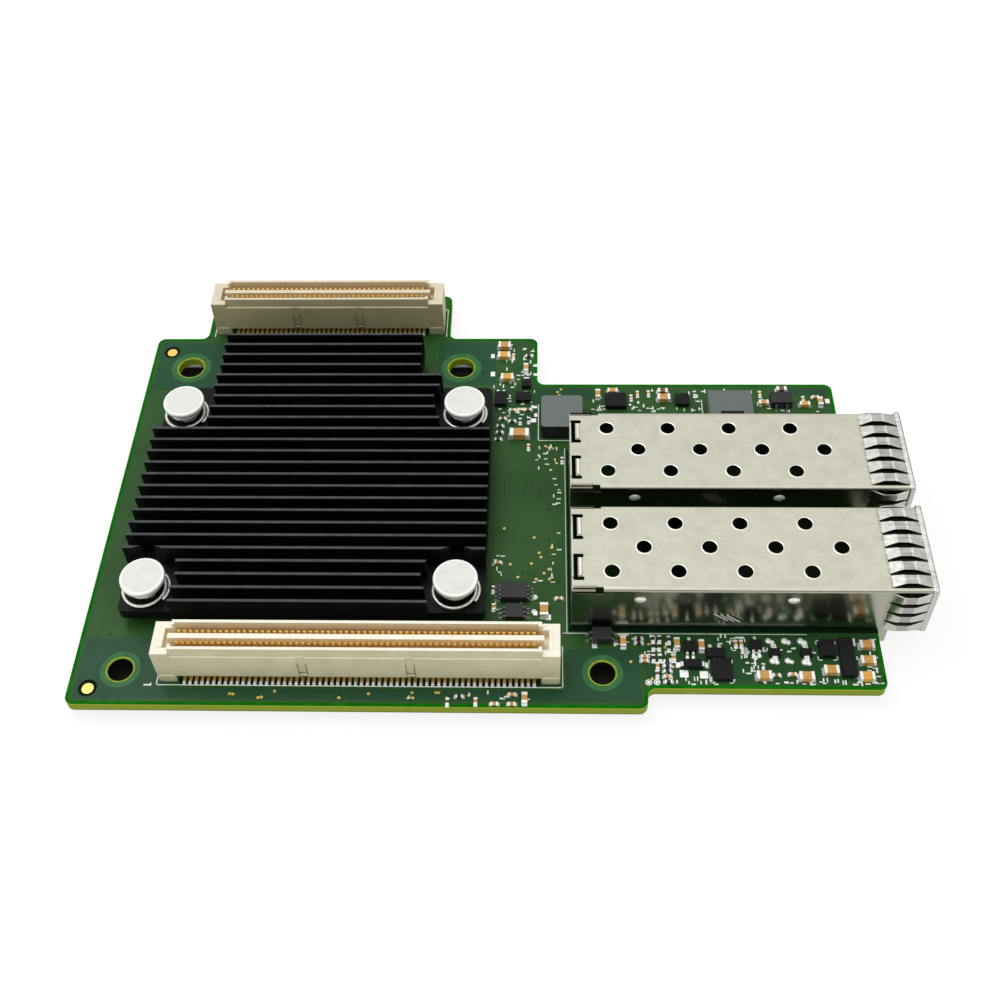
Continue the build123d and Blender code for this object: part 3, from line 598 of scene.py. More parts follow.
def tube(bm, points, radius, sides=10, material=0):
    """A round wire through points of the board's frame."""
    rings = []
    side = None
    for i, point in enumerate(points):
        ahead = heading(points, i)
        side = (side - ahead * side.dot(ahead)).normalized() if side else ahead.orthogonal().normalized()
        other = ahead.cross(side)
        arms = [side * u + other * v for u, v in circle(0, 0, radius, sides)]
        rings.append([bm.verts.new(at(*(point + arm))) for arm in arms])
    skin(bm, rings, material)
    bm.faces.new(rings[0])
    bm.faces.new(rings[-1])


def ribbon(bm, path, across, widths, thickness, materials=0):
    """A strip of sheet along a path; its half-width and material may change from stretch to stretch."""
    across = Vector(across).normalized()
    if isinstance(widths, float):
        widths = [widths] * len(path)
    if isinstance(materials, int):
        materials = [materials] * len(path)
    rings = []
    for i, (point, width) in enumerate(zip(path, widths)):
        lift = across.cross(heading(path, i)).normalized() * thickness
        a, b = point - across * width, point + across * width
        rings.append([bm.verts.new(at(*p)) for p in (a, b, b + lift, a + lift)])
    skin(bm, rings, materials)
    bm.faces.new(rings[0][::-1]).material_index = materials[0]
    bm.faces.new(rings[-1]).material_index = materials[-1]


# board

# How far print and pads lie above the board, so that none shares a plane with another
PRINT_Z = BOARD_TOP + 0.012
SILK_Z = PRINT_Z + 0.006
CONNECTOR_MARGIN = 3.4
# Brackets printed round parts, as (x, y, width, depth)
BRACKETS = (
    (88.13, 5.7, 3.1, 3.6), (102.6, 9.0, 2.6, 3.0), (90.75, 9.85, 1.9, 1.9), (59.3, 15.9, 3.6, 1.4),
)
# Round pads with solder domes, and smaller ones with a printed ring, as (x, y, radius)
ROUND_PADS = (
    (95.1, 10.3, 0.45), (97.3, 10.3, 0.5), (99.5, 10.3, 0.5), (95.4, 7.2, 0.5), (97.4, 7.25, 0.45),
    (99.7, 7.05, 0.5), (78.3, 3.9, 0.3), (79.4, 3.95, 0.3), (62.9, 14.9, 0.22), (63.0, 17.3, 0.25),
)
# Flat pads with solder on them, as (x, y, width, depth)
FLAT_PADS = (
    (83.1, 5.25, 1.15, 1.1), (85.75, 5.1, 1.1, 1.1), (71.2, 9.75, 0.7, 1.3), (74.0, 9.9, 0.35, 0.9),
    (75.1, 11.3, 1.6, 0.35), (62.8, 52.9, 0.75, 0.5), (63.0, 51.2, 0.5, 0.7), (62.6, 50.1, 0.9, 0.8),
    (59.4, 50.0, 0.7, 0.7), (55.9, 64.0, 0.6, 0.9), (56.0, 60.0, 0.7, 1.0), (62.9, 59.9, 0.6, 0.5),
    (62.9, 61.9, 0.6, 0.5), (64.9, 14.0, 0.7, 0.9), (63.1, 14.6, 0.55, 0.6), (106.5, 10.3, 0.3, 1.2),
    (73.0, 54.9, 0.9, 0.3), (109.0, 54.2, 0.7, 0.9), (77.9, 53.4, 0.35, 0.35), (79.2, 53.9, 0.3, 0.5),
)
# Where short printed ticks stand for a board's reference marks, as (x0, y0, x1, y1, count)
TICKS = (
    (91.0, 5.0, 94.2, 9.2, 44), (81.0, 3.6, 87.2, 4.3, 12), (93.5, 3.7, 109.2, 4.3, 34),
    (78.0, 4.4, 82.0, 11.0, 22), (88.0, 9.6, 92.0, 11.2, 12), (94.0, 8.2, 101.0, 9.4, 12),
    (104.2, 4.5, 109.2, 11.0, 12), (86.0, 4.3, 90.5, 7.6, 10), (56.6, 20.6, 58.6, 26.5, 8),
    (61.4, 19.6, 66.0, 23.0, 7), (63.0, 40.0, 66.4, 45.6, 14), (65.0, 24.0, 66.4, 38.5, 12),
    (71.8, 52.2, 73.4, 54.0, 5), (77.2, 52.1, 84.0, 53.0, 9), (88.2, 52.0, 89.0, 55.4, 4),
    (98.0, 52.2, 99.8, 55.0, 4), (56.2, 56.8, 60.0, 57.6, 5), (59.6, 56.8, 62.6, 66.6, 14),
    (10.2, 2.9, 11.4, 4.6, 3), (45.0, 0.9, 62.0, 2.2, 7), (107.6, 3.9, 109.4, 10.8, 9),
    (73.5, 9.0, 77.0, 11.4, 5), (56.4, 50.0, 62.8, 57.0, 26), (58.0, 58.0, 62.8, 66.8, 16),
    (72.4, 51.9, 108.0, 52.9, 22), (74.0, 55.6, 100.0, 56.4, 10),
)
# Where small bare vias lie
VIAS = (
    (20.0, 1.0, 62.0, 2.2, 14), (57.0, 22.0, 66.0, 30.0, 8), (76.0, 3.8, 82.0, 11.0, 10),
    (56.8, 20.0, 66.0, 22.0, 4), (64.0, 40.0, 66.5, 46.0, 5), (66.0, 54.0, 72.0, 57.0, 4),
)


def outline(inset, steps=5):
    """The board's outline drawn in by a distance, with rounded corners."""
    points = []
    for i, corner in enumerate(BOARD_CORNERS):
        here = Vector(corner)
        before = (here - Vector(BOARD_CORNERS[i - 1])).normalized()
        after = (Vector(BOARD_CORNERS[(i + 1) % len(BOARD_CORNERS)]) - here).normalized()
        left_before, left_after = Vector((-before.y, before.x)), Vector((-after.y, after.x))
        turn = 1 if before.cross(after) > 0 else -1
        radius = max(CORNER_RADIUS - inset * turn, 0.05)
        centre = here + (left_before + left_after) * (inset + radius * turn)
        for k in range(steps + 1):
            angle = math.pi / 2 * k / steps
            arm = left_before * math.cos(angle) + left_after * math.sin(angle)
            points.append(tuple(centre - arm * radius * turn))
    return points


def scattered(draw, areas):
    """Random places within areas given as (x0, y0, x1, y1, count)."""
    for x0, y0, x1, y1, count in areas:
        for _ in range(count):
            yield draw.uniform(x0, x1), draw.uniform(y0, y1)


def board_marks():
    """Thin print, pads and copper that show on the board's top."""
    bm = bmesh.new()
    silk, gold, rim, copper, clear_and_hole_shade, solder, edge, shade = range(8)
    # a band of painted highlight along the board's top edge
    band(bm, outline(0.03), outline(0.50), PRINT_Z, rim)
    for x, y, radius in BOARD_HOLES:
        wall, reach = (clear_and_hole_shade, 0.82) if radius < 2 else (edge, 1.0)
        ring_band(bm, x, y, radius + reach, radius + 0.01, PRINT_Z, copper)
        # the hole's wall, painted near-black as shade in the front holes, and the laminate's bare edge round
        # it
        rest = (radius - 0.22, BOARD_TOP - 0.14)
        lathe(bm, (x, y), [(radius - 0.005, 0.1), (radius - 0.2, 0.1), rest], material=wall)
        lip = [rest, (radius - 0.16, BOARD_TOP), (radius + 0.02, BOARD_TOP + 0.014)]
        lathe(bm, (x, y), lip, material=edge)
    for x, y in ((2.7, 64.9), (2.75, 2.45)):
        flat(bm, circle(x, y, 1.27, 40), PRINT_Z + 0.004, clear_and_hole_shade)
        flat(bm, circle(x + 0.05, y - 0.1, 0.80, 40), PRINT_Z + 0.012, gold)
    for name, (x, y, count, _) in CONNECTORS.items():
        row = count * CONTACT_PITCH / 2
        reach = 3.15 if name == "rear" else -3.15
        left, right = x - row - CONNECTOR_MARGIN, x + row + CONNECTOR_MARGIN
        line = [(left, y - reach), (left, y + reach), (right, y + reach), (right, y - reach)]
        stroke(bm, line, 0.14, SILK_Z, silk)
        # painted shade beside each row of feet
        for low, high in ((y - 3.08, y - 2.1), (y + 2.1, y + 3.08)):
            flat(bm, rectangle(x - row - 0.3, low, x + row + 0.3, high), PRINT_Z, shade)
    # lines beside the cages, printed or of painted shade, as (points, width, height, look)
    for points, width, z, look in (
        ([(CAGE_BACK - 0.55, 11.4), (CAGE_BACK - 0.55, 44.4)], 0.08, SILK_Z, silk),
        # painted shade along the foot of the cage walls
        ([(CAGE_BACK - 0.18, 11.9), (CAGE_BACK - 0.18, 44.0)], 0.3, PRINT_Z + 0.004, shade),
        ([(CAGE_BACK, 11.98), (109.8, 11.98)], 0.5, PRINT_Z + 0.004, shade),
        ([(66.9, 11.45), (71.0, 11.45)], 0.10, SILK_Z, silk),
        ([(74.0, 11.45), (100.2, 11.45)], 0.10, SILK_Z, silk),
        ([(63.4, 53.4), (63.4, 46.0), (70.7, 46.0)], 0.14, SILK_Z, silk),
        ([(89.2, 54.4), (89.2, 46.6), (97.3, 46.6)], 0.14, SILK_Z, silk),
    ):
        stroke(bm, points, width, z, look)
    for x, y, wide, deep in BRACKETS:
        for side in (-1, 1):
            end = y + side * deep / 2
            for way in (-1, 1):
                corner = x + way * wide / 2
                line = [(corner - way * 0.5, end), (corner, end), (corner, end - side * 0.5)]
                stroke(bm, line, 0.15, SILK_Z, silk)
    for x, y, radius in ROUND_PADS:
        if radius < 0.4:
            flat(bm, circle(x, y, radius * 0.72, 20), PRINT_Z + 0.01, solder)
            ring_band(bm, x, y, radius + 0.16, radius, SILK_Z, silk, 24)
            continue
        # a pair of domes run together
        for dx, dy, share in ((-0.22, 0.1, radius), (0.3, -0.12, radius * 0.75)):
            dome = ((1, 0), (0.86, 0.16), (0.5, 0.27), (0, 0.3))
            profile = [(share * part, BOARD_TOP + rise) for part, rise in dome]
            lathe(bm, (x + dx, y + dy), profile, 20, solder)
    for x, y, wide, deep in FLAT_PADS:
        shape = rectangle(x - wide / 2, y - deep / 2, x + wide / 2, y + deep / 2)
        prism(bm, shape, BOARD_TOP, BOARD_TOP + 0.03, solder)
    draw = random.Random(41)
    for x, y in scattered(draw, TICKS):
        length = draw.uniform(0.25, 0.55)
        end = (x + length, y) if draw.random() < 0.5 else (x, y + length)
        width = draw.uniform(0.15, 0.24)
        stroke(bm, [(x, y), end], width, PRINT_Z + draw.uniform(0.006, 0.009), silk)
    for x, y in scattered(draw, VIAS):
        ring_band(bm, x, y, 0.2, 0.09, PRINT_Z + 0.008, gold, 14)
    keys = ["silk", "pad_gold", "rim", "ring", "clear_and_hole_shade", "solder", "ring_edge", "shade"]
    return make_piece("board_print_and_pads", bm, keys)


dress("circuit_board", "mask")
dress("controller_chip", "package")
dress("thermal_pad", "pad")
board_marks()

# heat sink with its push pins and springs

eased_copy("heat_sink", "anodised", 0.05, segments=1)


def push_pins():
    """Shafts and heads of nylon, with a painted highlight where a head's edge is rounded."""
    bm = bmesh.new()
    ease = 0.26
    arc = [math.radians(a) for a in range(0, 91, 15)]
    rounding = [(PIN_RADIUS - ease * (1 - math.cos(t)), HEAD_HIGH - ease * (1 - math.sin(t))) for t in arc]
    for place in PINS:
        profile = [(0, -1.9), (0.95, -1.9), (1.0, -1.8), (1.9, -0.1), (1.9, 0.0), (1.45, 0.02)]
        profile += [(1.45, HEAD_LOW - 0.15), (1.6, HEAD_LOW), (2.1, HEAD_LOW), (2.2, HEAD_LIP - 0.05)]
        profile += [(2.8, HEAD_LIP), (3.02, HEAD_LIP + 0.12), (PIN_RADIUS, HEAD_LIP + 0.3)]
        lathe(bm, place, profile + rounding[:1], 64, 0)
        # painted highlight on the rounded edge
        lathe(bm, place, rounding + [(2.72, HEAD_HIGH)], 64, 1)
        lathe(bm, place, [(2.72, HEAD_HIGH), (2.2, HEAD_HIGH - 0.015), (0, HEAD_HIGH - 0.01)], 64, 0)
    bmesh.ops.remove_doubles(bm, verts=bm.verts, dist=0.001 * MM)
    return make_piece("pin_caps", bm, ["nylon", "nylon_painted_rim_highlight"], ["push_pins"], smooth=True)


def springs():
    """Coil springs that start wide on the heat sink's lands and narrow under the pins' heads."""
    bm = bmesh.new()
    turns, steps = 2.5, 90
    narrowing = SPRING_TOP_RADIUS - SPRING_RADIUS
    climb = HEAD_LIP - LAND_TOP - 0.46
    for x, y in PINS:
        points = []
        for i in range(steps + 1):
            share = i / steps
            radius = SPRING_RADIUS + narrowing * min(max(share - 0.25, 0) / 0.4, 1)
            angle = 2 * math.pi * turns * share - 0.6
            z = LAND_TOP + 0.23 + climb * max(share - 0.3, 0) / 0.7
            points.append(Vector((x + radius * math.cos(angle), y + radius * math.sin(angle), z)))
        tube(bm, points, SPRING_WIRE)
    return make_piece("coil_springs", bm, ["spring"], ["push_pin_springs"], smooth=True)


push_pins()
springs()

# board-to-board connectors

# One contact from its foot up to its tip, as (distance from the tongue's middle, height above the board)
CONTACT_PATH = (
    (2.75, 0.16), (2.3, 0.20), (1.5, 0.24), (0.95, 0.36), (0.62, 0.75), (0.50, 1.6),
    (0.46, 3.6), (0.50, 5.4), (0.72, 6.4), (1.02, 6.95), (1.05, 7.12), (0.88, 7.34),
)


def contacts(name):
    """Gold contacts with their solder, standing for the CAD strips."""
    x0, y0, count, _ = CONNECTORS[name]
    bm = bmesh.new()
    for turn in (-1, 1):
        for i in range(count):
            x = x0 + (i - (count - 1) / 2) * CONTACT_PITCH
            path = [Vector((x, y0 + turn * y, BOARD_TOP + z)) for y, z in CONTACT_PATH]
            ribbon(bm, path, (turn, 0, 0), 0.21, 0.16)
            heel = (x - 0.24, y0 + turn * 2.56, BOARD_TOP)
            toe = (x + 0.24, y0 + turn * 3.1, BOARD_TOP + 0.34)
            add_box(bm, heel, toe, 1, 0.07, top_scale=0.8)
    replaced = [name + "_connector_contacts"]
    return make_piece(name + "_contact_rows", bm, ["gold", "solder"], replaced)


def housing_details(name):
    """Moulding marks on a housing's long sides, partly drawn as thin strips of painted shadow, and the steps
    in its end pockets.
    """
    x0, y0, count, groove = CONNECTORS[name]
    bm = bmesh.new()
    half = count * CONTACT_PITCH / 2 + 3.05

    def mark(x, y, z, width, depth, height, *finish):
        """A box from x on, from y outwards, and from a height above the board up."""
        add_box(bm, (x, y, BOARD_TOP + z), (x + width, y + depth, BOARD_TOP + z + height), *finish)

    for turn in (-1, 1):
        face = y0 + turn * 2.525
        for x in (x0 - half, x0 + half - 2.5):
            mark(x, face - turn * 0.05, 0.05, 2.5, turn * 0.11, 1.15, 0, 0.04)
        for side in (-1, 1):
            # an outlined recess, and the parting line above it, as strips of painted shadow
            middle, start, depth = x0 + side * groove, face - turn * 0.005, turn * 0.02
            mark(middle - 0.63, start, 1.4, 0.1, depth, 3.2, 1)
            mark(middle + 0.53, start, 1.4, 0.1, depth, 3.2, 1)
            mark(middle - 0.58, start, 2.2, 1.16, depth, 0.14, 1)
            mark(middle - 0.4, start, 1.35, 0.8, depth, 0.25, 1)
        # short strips of painted shadow on the inner walls
        draw = random.Random(11)
        for _ in range(7):
            x = draw.uniform(x0 - half + 4, x0 + half - 4)
            mark(x - 0.04, y0 + turn * 2.02, draw.uniform(5.7, 6.1), 0.08, turn * 0.012, 0.7, 1)
    # a ledge and a raised floor in each end pocket, as (near end, length, height)
    for side in (-1, 1):
        for near, length, height in ((1.5, 0.55, 3.0), (2.38, 0.98, 1.4)):
            mark(x0 + side * (half - near), y0 - 1.48, 3.9, side * length, 2.96, height, 0, 0.05)
    return make_piece(name + "_moulding_marks", bm, ["ivory", "groove"])


for side in ("front", "rear"):
    eased_copy(side + "_connector_housing", "ivory", 0.07)
    contacts(side)
    housing_details(side)

# cages


def u_section(half, top, radius, steps=6):
    """A folded cover's section, as (y, z) points from wall foot to wall foot."""
    points = [(-half, BOARD_TOP)]
    for k in range(steps + 1):
        angle = math.pi / 2 * k / steps
        points.append((-half + radius * (1 - math.cos(angle)), top - radius * (1 - math.sin(angle))))
    return points + [(-y, z) for y, z in reversed(points)]


def hollow_cover(y0):
    """The bent sheet of a cover before anything is cut out of it."""
    bm = bmesh.new()
    outer = u_section(CAGE_HALF, CAGE_TOP, CAGE_BEND)
    inner = u_section(CAGE_HALF - SHEET, CAGE_TOP - SHEET, CAGE_BEND - SHEET)
    loop = outer + inner[::-1]
    ends = [[bm.verts.new(at(x, y0 + y, z)) for y, z in loop] for x in (CAGE_BACK, CAGE_FRONT)]
    skin(bm, ends)
    last = len(loop) - 1
    for end in ends:
        for i in range(len(outer) - 1):
            bm.faces.new((end[i], end[i + 1], end[last - 1 - i], end[last - i]))
    join_flat_faces(bm, 0.5)
    return bm


def vents(y0):
    """The middles of a cover's vents, in three staggered rows."""
    for row in (-1, 0, 1):
        start = CAGE_BACK + VENT_START + (VENT_PITCH / 2 if row == 0 else 0)
        for i in range(4):
            yield start + i * VENT_PITCH, y0 + row * VENT_ROW


def cover_cutters(y0):
    """Everything that is punched out of a cover."""
    bm = bmesh.new()
    low, high = CAGE_TOP - 3 * SHEET, CAGE_TOP + 1
    seam = CAGE_TOP - CAGE_BEND
    hinge_slot = [
        (0.05, 5.48), (1.60, 5.48), (1.74, 5.18), (1.60, 4.88), (0.84, 4.88), (0.84, 1.80), (1.56, 1.80),
        (1.70, 1.50), (1.56, 1.20), (0.24, 1.20), (0.24, 4.88), (0.05, 4.88),
    ]
    for x, y in vents(y0):
        prism(bm, circle(x, y, VENT_RADIUS, 44), low, high)
    for side in (-1, 1):
        prism(bm, [(CAGE_BACK + x, y0 + side * y) for x, y in hinge_slot][::side], low, high)
        near, far = sorted((y0 + side * (CAGE_HALF - 2 * SHEET), y0 + side * (CAGE_HALF + 1)))
        add_box(bm, (CAGE_BACK + SHEET, near, seam - 0.35), (CAGE_BACK + 3.2, far, seam + 0.12))
        add_box(bm, (CAGE_BACK + 3.15, near - 0.1, seam - 0.6), (CAGE_BACK + 4.25, far, high))
    return bm


def punched_cover(y0):
    """A cover's bent sheet with its openings cut and its edges eased, the eased edges in a painted
    highlight.
    """
    body = new_object("cover_body", hollow_cover(y0))
    cutter = new_object("cover_cutter", cover_cutters(y0))
    cut = body.modifiers.new("cut", "BOOLEAN")
    cut.object, cut.operation, cut.solver = cutter, "DIFFERENCE", "EXACT"
    cut.use_self = True
    graph = bpy.context.evaluated_depsgraph_get()
    mesh = bpy.data.meshes.new_from_object(body.evaluated_get(graph))
    bpy.data.objects.remove(body)
    bpy.data.objects.remove(cutter)
    bm = bmesh.new()
    bm.from_mesh(mesh)
    bpy.data.meshes.remove(mesh)
    for f in bm.faces:
        f.material_index = 0
    ease_edges(bm, 0.07, 2, 50.0, material=1)
    return bm


def cage_cover(port):
    """A cover with the lips, dimples, bars, tabs and tails that leave its sheet."""
    y0 = PORTS[port]
    bm = punched_cover(y0)
    lip = [(1.03, CAGE_TOP - 0.10), (1.04, CAGE_TOP + 0.01), (1.10, CAGE_TOP + 0.035)]
    lip += [(1.18, CAGE_TOP + 0.025), (1.25, CAGE_TOP - 0.01)]
    # the raised lips round the vents carry a painted highlight
    for place in vents(y0):
        lathe(bm, place, lip, 44, 1)
    for side in (-1, 1):
        face = y0 + side * CAGE_HALF
        # the hinge bars carry a painted highlight
        bar = [Vector((CAGE_BACK + 1.19, y0 + 3.33 * side + d, CAGE_TOP - 0.16)) for d in (-1.4, 1.4)]
        tube(bm, bar, 0.33, 16, 1)
        for x in DIMPLES_X:
            # a dimple pressed outwards, as (radius, height), white as a painted highlight
            rings = []
            for radius, out in ((0.85, -0.02), (0.72, 0.10), (0.42, 0.20), (0, 0.23)):
                points = circle(x, 0, radius, 24) if radius else [(x, 0)]
                y = face + side * (out - 0.01)
                rings.append([bm.verts.new(at(u, y, DIMPLE_Z + v * 0.8)) for u, v in points])
            for f in skin(bm, rings, 2):
                f.smooth = True
        # the open seam beside the fold, drawn as dark strips of painted shadow
        for out, wide in ((0.60, 0.12), (0.26, 0.36)):
            y = face - side * out
            strip = rectangle(CAGE_BACK + 0.1, y - wide / 2, CAGE_BACK + 3.3, y + wide / 2)
            flat(bm, strip, CAGE_TOP + 0.006, 3)
        # a lanced tab in the wall, as three slanted strips: white ones painted as highlights, dark ones
        # painted as the shade in its slits
        for i in range(3):
            start = Vector((87.4 + i * 0.85, face - side * 0.02, 5.5 - i * 0.15))
            line = [start, start + Vector((1.9, 0, -1.6))]
            ribbon(bm, line, (0.64, 0, 0.76), 0.09, side * 0.14, 2)
            line = [p + Vector((0.32, 0, 0)) for p in line]
            ribbon(bm, line, (0.64, 0, 0.76), 0.15, side * 0.05, 3)
        low, high = sorted((face, face - side * SHEET))
        for i in range(4):
            x = CAGE_BACK + TAIL_START + i * TAIL_PITCH
            tail = [(-0.35, 1.6), (0.35, 1.6), (0.35, 0.0), (0.17, -1.9), (-0.17, -1.9), (-0.35, 0.0)]
            rings = [[bm.verts.new(at(x + u, y, v)) for u, v in tail] for y in (low, high)]
            bm.faces.new(rings[0])
            bm.faces.new(rings[1][::-1])
            skin(bm, rings)
        add_box(bm, (110.15, low, -1.2), (111.35, high, 1.6))
    inner = CAGE_HALF - SHEET
    back = (CAGE_BACK, y0 - inner, BOARD_TOP + SHEET), (CAGE_BACK + SHEET, y0 + inner, CAGE_TOP - SHEET)
    add_box(bm, *back, 0, 0.05)
    # the white solder material serves as painted highlight on the dimples and the tab
    keys = ["cage", "cage_rim_painted_highlight", "solder", "gap_painted_shadow"]
    return make_piece(port + "_cover_sheet", bm, keys, [port + "_cage_cover"])


def cage_collar(port):
    """The collar round a cage's mouth: fingers, band and rolled lip."""
    y0 = PORTS[port]
    bm = bmesh.new()
    gap, band_length, sheet = 0.02, 0.6, 0.2
    low, high = BOARD_TOP - gap, CAGE_TOP + gap
    middle = (low + high) / 2
    half_y, half_z = CAGE_HALF + gap, (high - low) / 2
    start = CAGE_FRONT - band_length
    # a bowed finger from its tip to the band, as (share of its length, share of its height)
    shares = [(0.0, 0.02), (0.06, 0.10), (0.30, 0.97), (0.36, 1.0), (0.62, 1.0), (0.68, 0.95), (1.0, 0.05)]
    path = [(start + 0.05 - FINGER_LENGTH * (1 - s), FINGER_BOW * h) for s, h in shares]
    widths = (0.93, 0.92, 0.72, 0.66, 0.66, 0.72, 0.95)
    # stretches marked 1, the tip and the middle, get painted shade in a darker copy of the collar's metal
    looks = (1, 0, 0, 1, 0, 0)
    for side in (-1, 1):
        wall, face = y0 + side * half_y, middle + side * half_z
        for i in range(6):
            y = y0 + (i - 2.5) * FINGER_PITCH
            line = [Vector((x, y, face + side * h)) for x, h in path]
            ribbon(bm, line, (0, side, 0), widths, 0.13, looks)
        for i in range(4):
            z = middle + (i - 1.5) * FINGER_PITCH
            line = [Vector((x, wall + side * h, z)) for x, h in path]
            ribbon(bm, line, (0, 0, -side), widths, 0.13, looks)
        # a dark sheet of painted shadow that shows between the fingers
        back, lining = start - 5.3, side * 0.03
        add_box(bm, (back, y0 - 6.5, face), (start, y0 + 6.5, face + lining), 2)
        add_box(bm, (back, wall, middle - 4.2), (start, wall + lining, middle + 4.2), 2)
    # the band and its rolled lip, as (x, distance out, corner radius)
    rings = []
    for x, extra, radius in (
        (start, 0.0, 0.3), (start, sheet * 0.8, 0.5), (start + 0.1, sheet, 0.5),
        (CAGE_FRONT - 0.05, sheet, 0.5), (CAGE_FRONT + 0.12, sheet - 0.06, 0.45),
        (CAGE_FRONT + 0.19, sheet - 0.2, 0.4), (CAGE_FRONT + 0.19, -0.40, 0.15),
        (CAGE_FRONT + 0.10, -0.45, 0.12), (CAGE_FRONT, -0.42, 0.12), (CAGE_FRONT, 0.0, 0.3),
    ):
        ring = []
        for k, (sy, sz) in enumerate(((1, 1), (-1, 1), (-1, -1), (1, -1))):
            cy, cz = y0 + sy * (half_y + extra - radius), middle + sz * (half_z + extra - radius)
            for m in range(5):
                angle = math.pi / 2 * (k + m / 4)
                across, up = radius * math.cos(angle), radius * math.sin(angle)
                ring.append(bm.verts.new(at(x, cy + across, cz + up)))
        rings.append(ring)
    skin(bm, rings + rings[:1])
    keys = ["collar", "collar_painted_shade", "gap_painted_shadow"]
    return make_piece(port + "_collar_sheet", bm, keys, [port + "_cage_collar"])


for port in PORTS:
    cage_cover(port)
    cage_collar(port)
    # painted shade on the cage's floor inside
    dress(port + "_cage_floor", "cage_inner_painted_shade")
    dress(port + "_port_socket", "socket")
    dress(port + "_port_contacts", "gold")

# small parts


def fillet_of_solder(bm, low, high, axis, end):
    """A sloping bead of solder between a part's end and its pad."""
    other = 1 - axis
    reach = 0.22
    base = high[axis] if end > 0 else low[axis]
    wide = (high[other] - low[other]) / 2 + 0.06
    middle = (high[other] + low[other]) / 2
    tall = (high.z - BOARD_TOP) * 0.62
    # the bead's section, as (distance out, share of its width, height)
    section = [(-0.08, 1.0, 0.0), (reach, 0.8, 0.0), (reach * 0.45, 0.75, tall * 0.38), (-0.08, 0.8, tall)]
    rings = []
    for side in (-1, 1):
        ring = []
        for out, share, rise in section:
            point = [0, 0, BOARD_TOP + rise]
            point[axis], point[other] = base + end * out, middle + side * wide * share
            ring.append(bm.verts.new(at(*point)))
        bm.faces.new(ring).material_index = 2
        rings.append(ring)
    skin(bm, rings, 2)


def end_capped(bm, low, high, body, cap_share):
    """A two-terminal part: body between two tinned ends along its longer side, soldered down."""
    axis = 0 if high.x - low.x > high.y - low.y else 1
    cap = (high[axis] - low[axis]) * cap_share
    inset = Vector((0.02, 0.02, 0.0))
    inset[axis] = cap * 0.8
    add_box(bm, low + inset, high - inset - Vector((0, 0, 0.02)), body, 0.03)
    for end in (-1, 1):
        a, b = low.copy(), high.copy()
        if end > 0:
            a[axis] = high[axis] - cap
        else:
            b[axis] = low[axis] + cap
        add_box(bm, a, b, 1, 0.05)
        fillet_of_solder(bm, low, high, axis, end)


def two_terminal_parts(name, node, bodies, cap_share, special=()):
    """Draws each solid of a node as a two-terminal part; special gives some their own body."""
    bm = bmesh.new()
    draw = random.Random(7)
    keys = [bodies[0], "tin", "solder"] + list(bodies[1:]) + [key for x, y, key in special]
    for low, high in solids(node):
        pick = draw.randrange(len(bodies))
        body = 0 if pick == 0 else 2 + pick
        x, y = (low.x + high.x) / 2, (low.y + high.y) / 2
        for k, (sx, sy, _) in enumerate(special):
            if abs(sx - x) + abs(sy - y) < 0.5:
                body = 2 + len(bodies) + k
        end_capped(bm, low, high, body, cap_share)
    return make_piece(name, bm, keys, [node])


def gull_wing(bm, foot, out, top, width):
    """One lead bent out from a package's side and down onto the board."""
    bends = ((-0.1, top), (0.22, top), (0.34, top * 0.5), (0.42, 0.10), (0.85, 0.04))
    path = [foot + out * reach + Vector((0, 0, rise)) for reach, rise in bends]
    across = Vector((-out.y, out.x, 0))
    ribbon(bm, path, across, width / 2, -0.08, 1)
    side = across * (width / 2 + 0.05)
    add_box(bm, foot + out * 0.5 - side, foot + out + side + Vector((0, 0, 0.09)), 2, 0.03, top_scale=0.7)


# A package's middle, its leads in front, at the back, on the left and on the right, and their width
LEADS = [
    (60.05, 17.7, 0, 0, 4, 4, 0.32), (60.15, 14.55, 0, 0, 3, 3, 0.3), (101.6, 53.85, 2, 2, 0, 0, 0.36),
    (72.2, 10.69, 0, 0, 2, 2, 0.4), (84.1, 9.14, 2, 1, 0, 0, 0.36), (84.3, 6.54, 0, 0, 1, 1, 0.7),
    (93.05, 9.44, 2, 1, 0, 0, 0.34), (95.5, 8.44, 1, 1, 0, 0, 0.7), (99.75, 8.49, 1, 1, 0, 0, 0.7),
    (87.5, 8.14, 0, 2, 0, 0, 0.42), (61.45, 57.55, 0, 1, 0, 0, 0.8), (57.4, 54.25, 0, 2, 0, 0, 0.4),
]
LEAD_SIDES = [Vector(way) for way in ((0, -1, 0), (0, 1, 0), (-1, 0, 0), (1, 0, 0))]


def packages(name, node, body, lead, foot):
    """Moulded packages with eased edges and the leads that each one has."""
    bm = bmesh.new()
    for low, high in solids(node):
        middle = (low + high) / 2
        half = (high - low) / 2
        middle.z = BOARD_TOP
        add_box(bm, low, high, 0, 0.06)
        # a moulded dimple marks the first lead
        if half.x > 0.7 and half.y > 0.6:
            flat(bm, circle(low.x + 0.35, high.y - 0.35, 0.13, 16), high.z + 0.004, 3)
        for x, y, *counts, width in LEADS:
            if abs(x - middle.x) + abs(y - middle.y) > 0.6:
                continue
            for count, out in zip(counts, LEAD_SIDES):
                along = Vector((abs(out.y) * half.x, abs(out.x) * half.y, 0))
                edge = middle + Vector((out.x * half.x, out.y * half.y, 0))
                for i in range(count):
                    foot_place = edge + along * ((2 * i + 1) / count - 1)
                    gull_wing(bm, foot_place, out, (high.z - BOARD_TOP) * 0.5, width)
    return make_piece(name, bm, [body, lead, foot, "resistor"], [node])


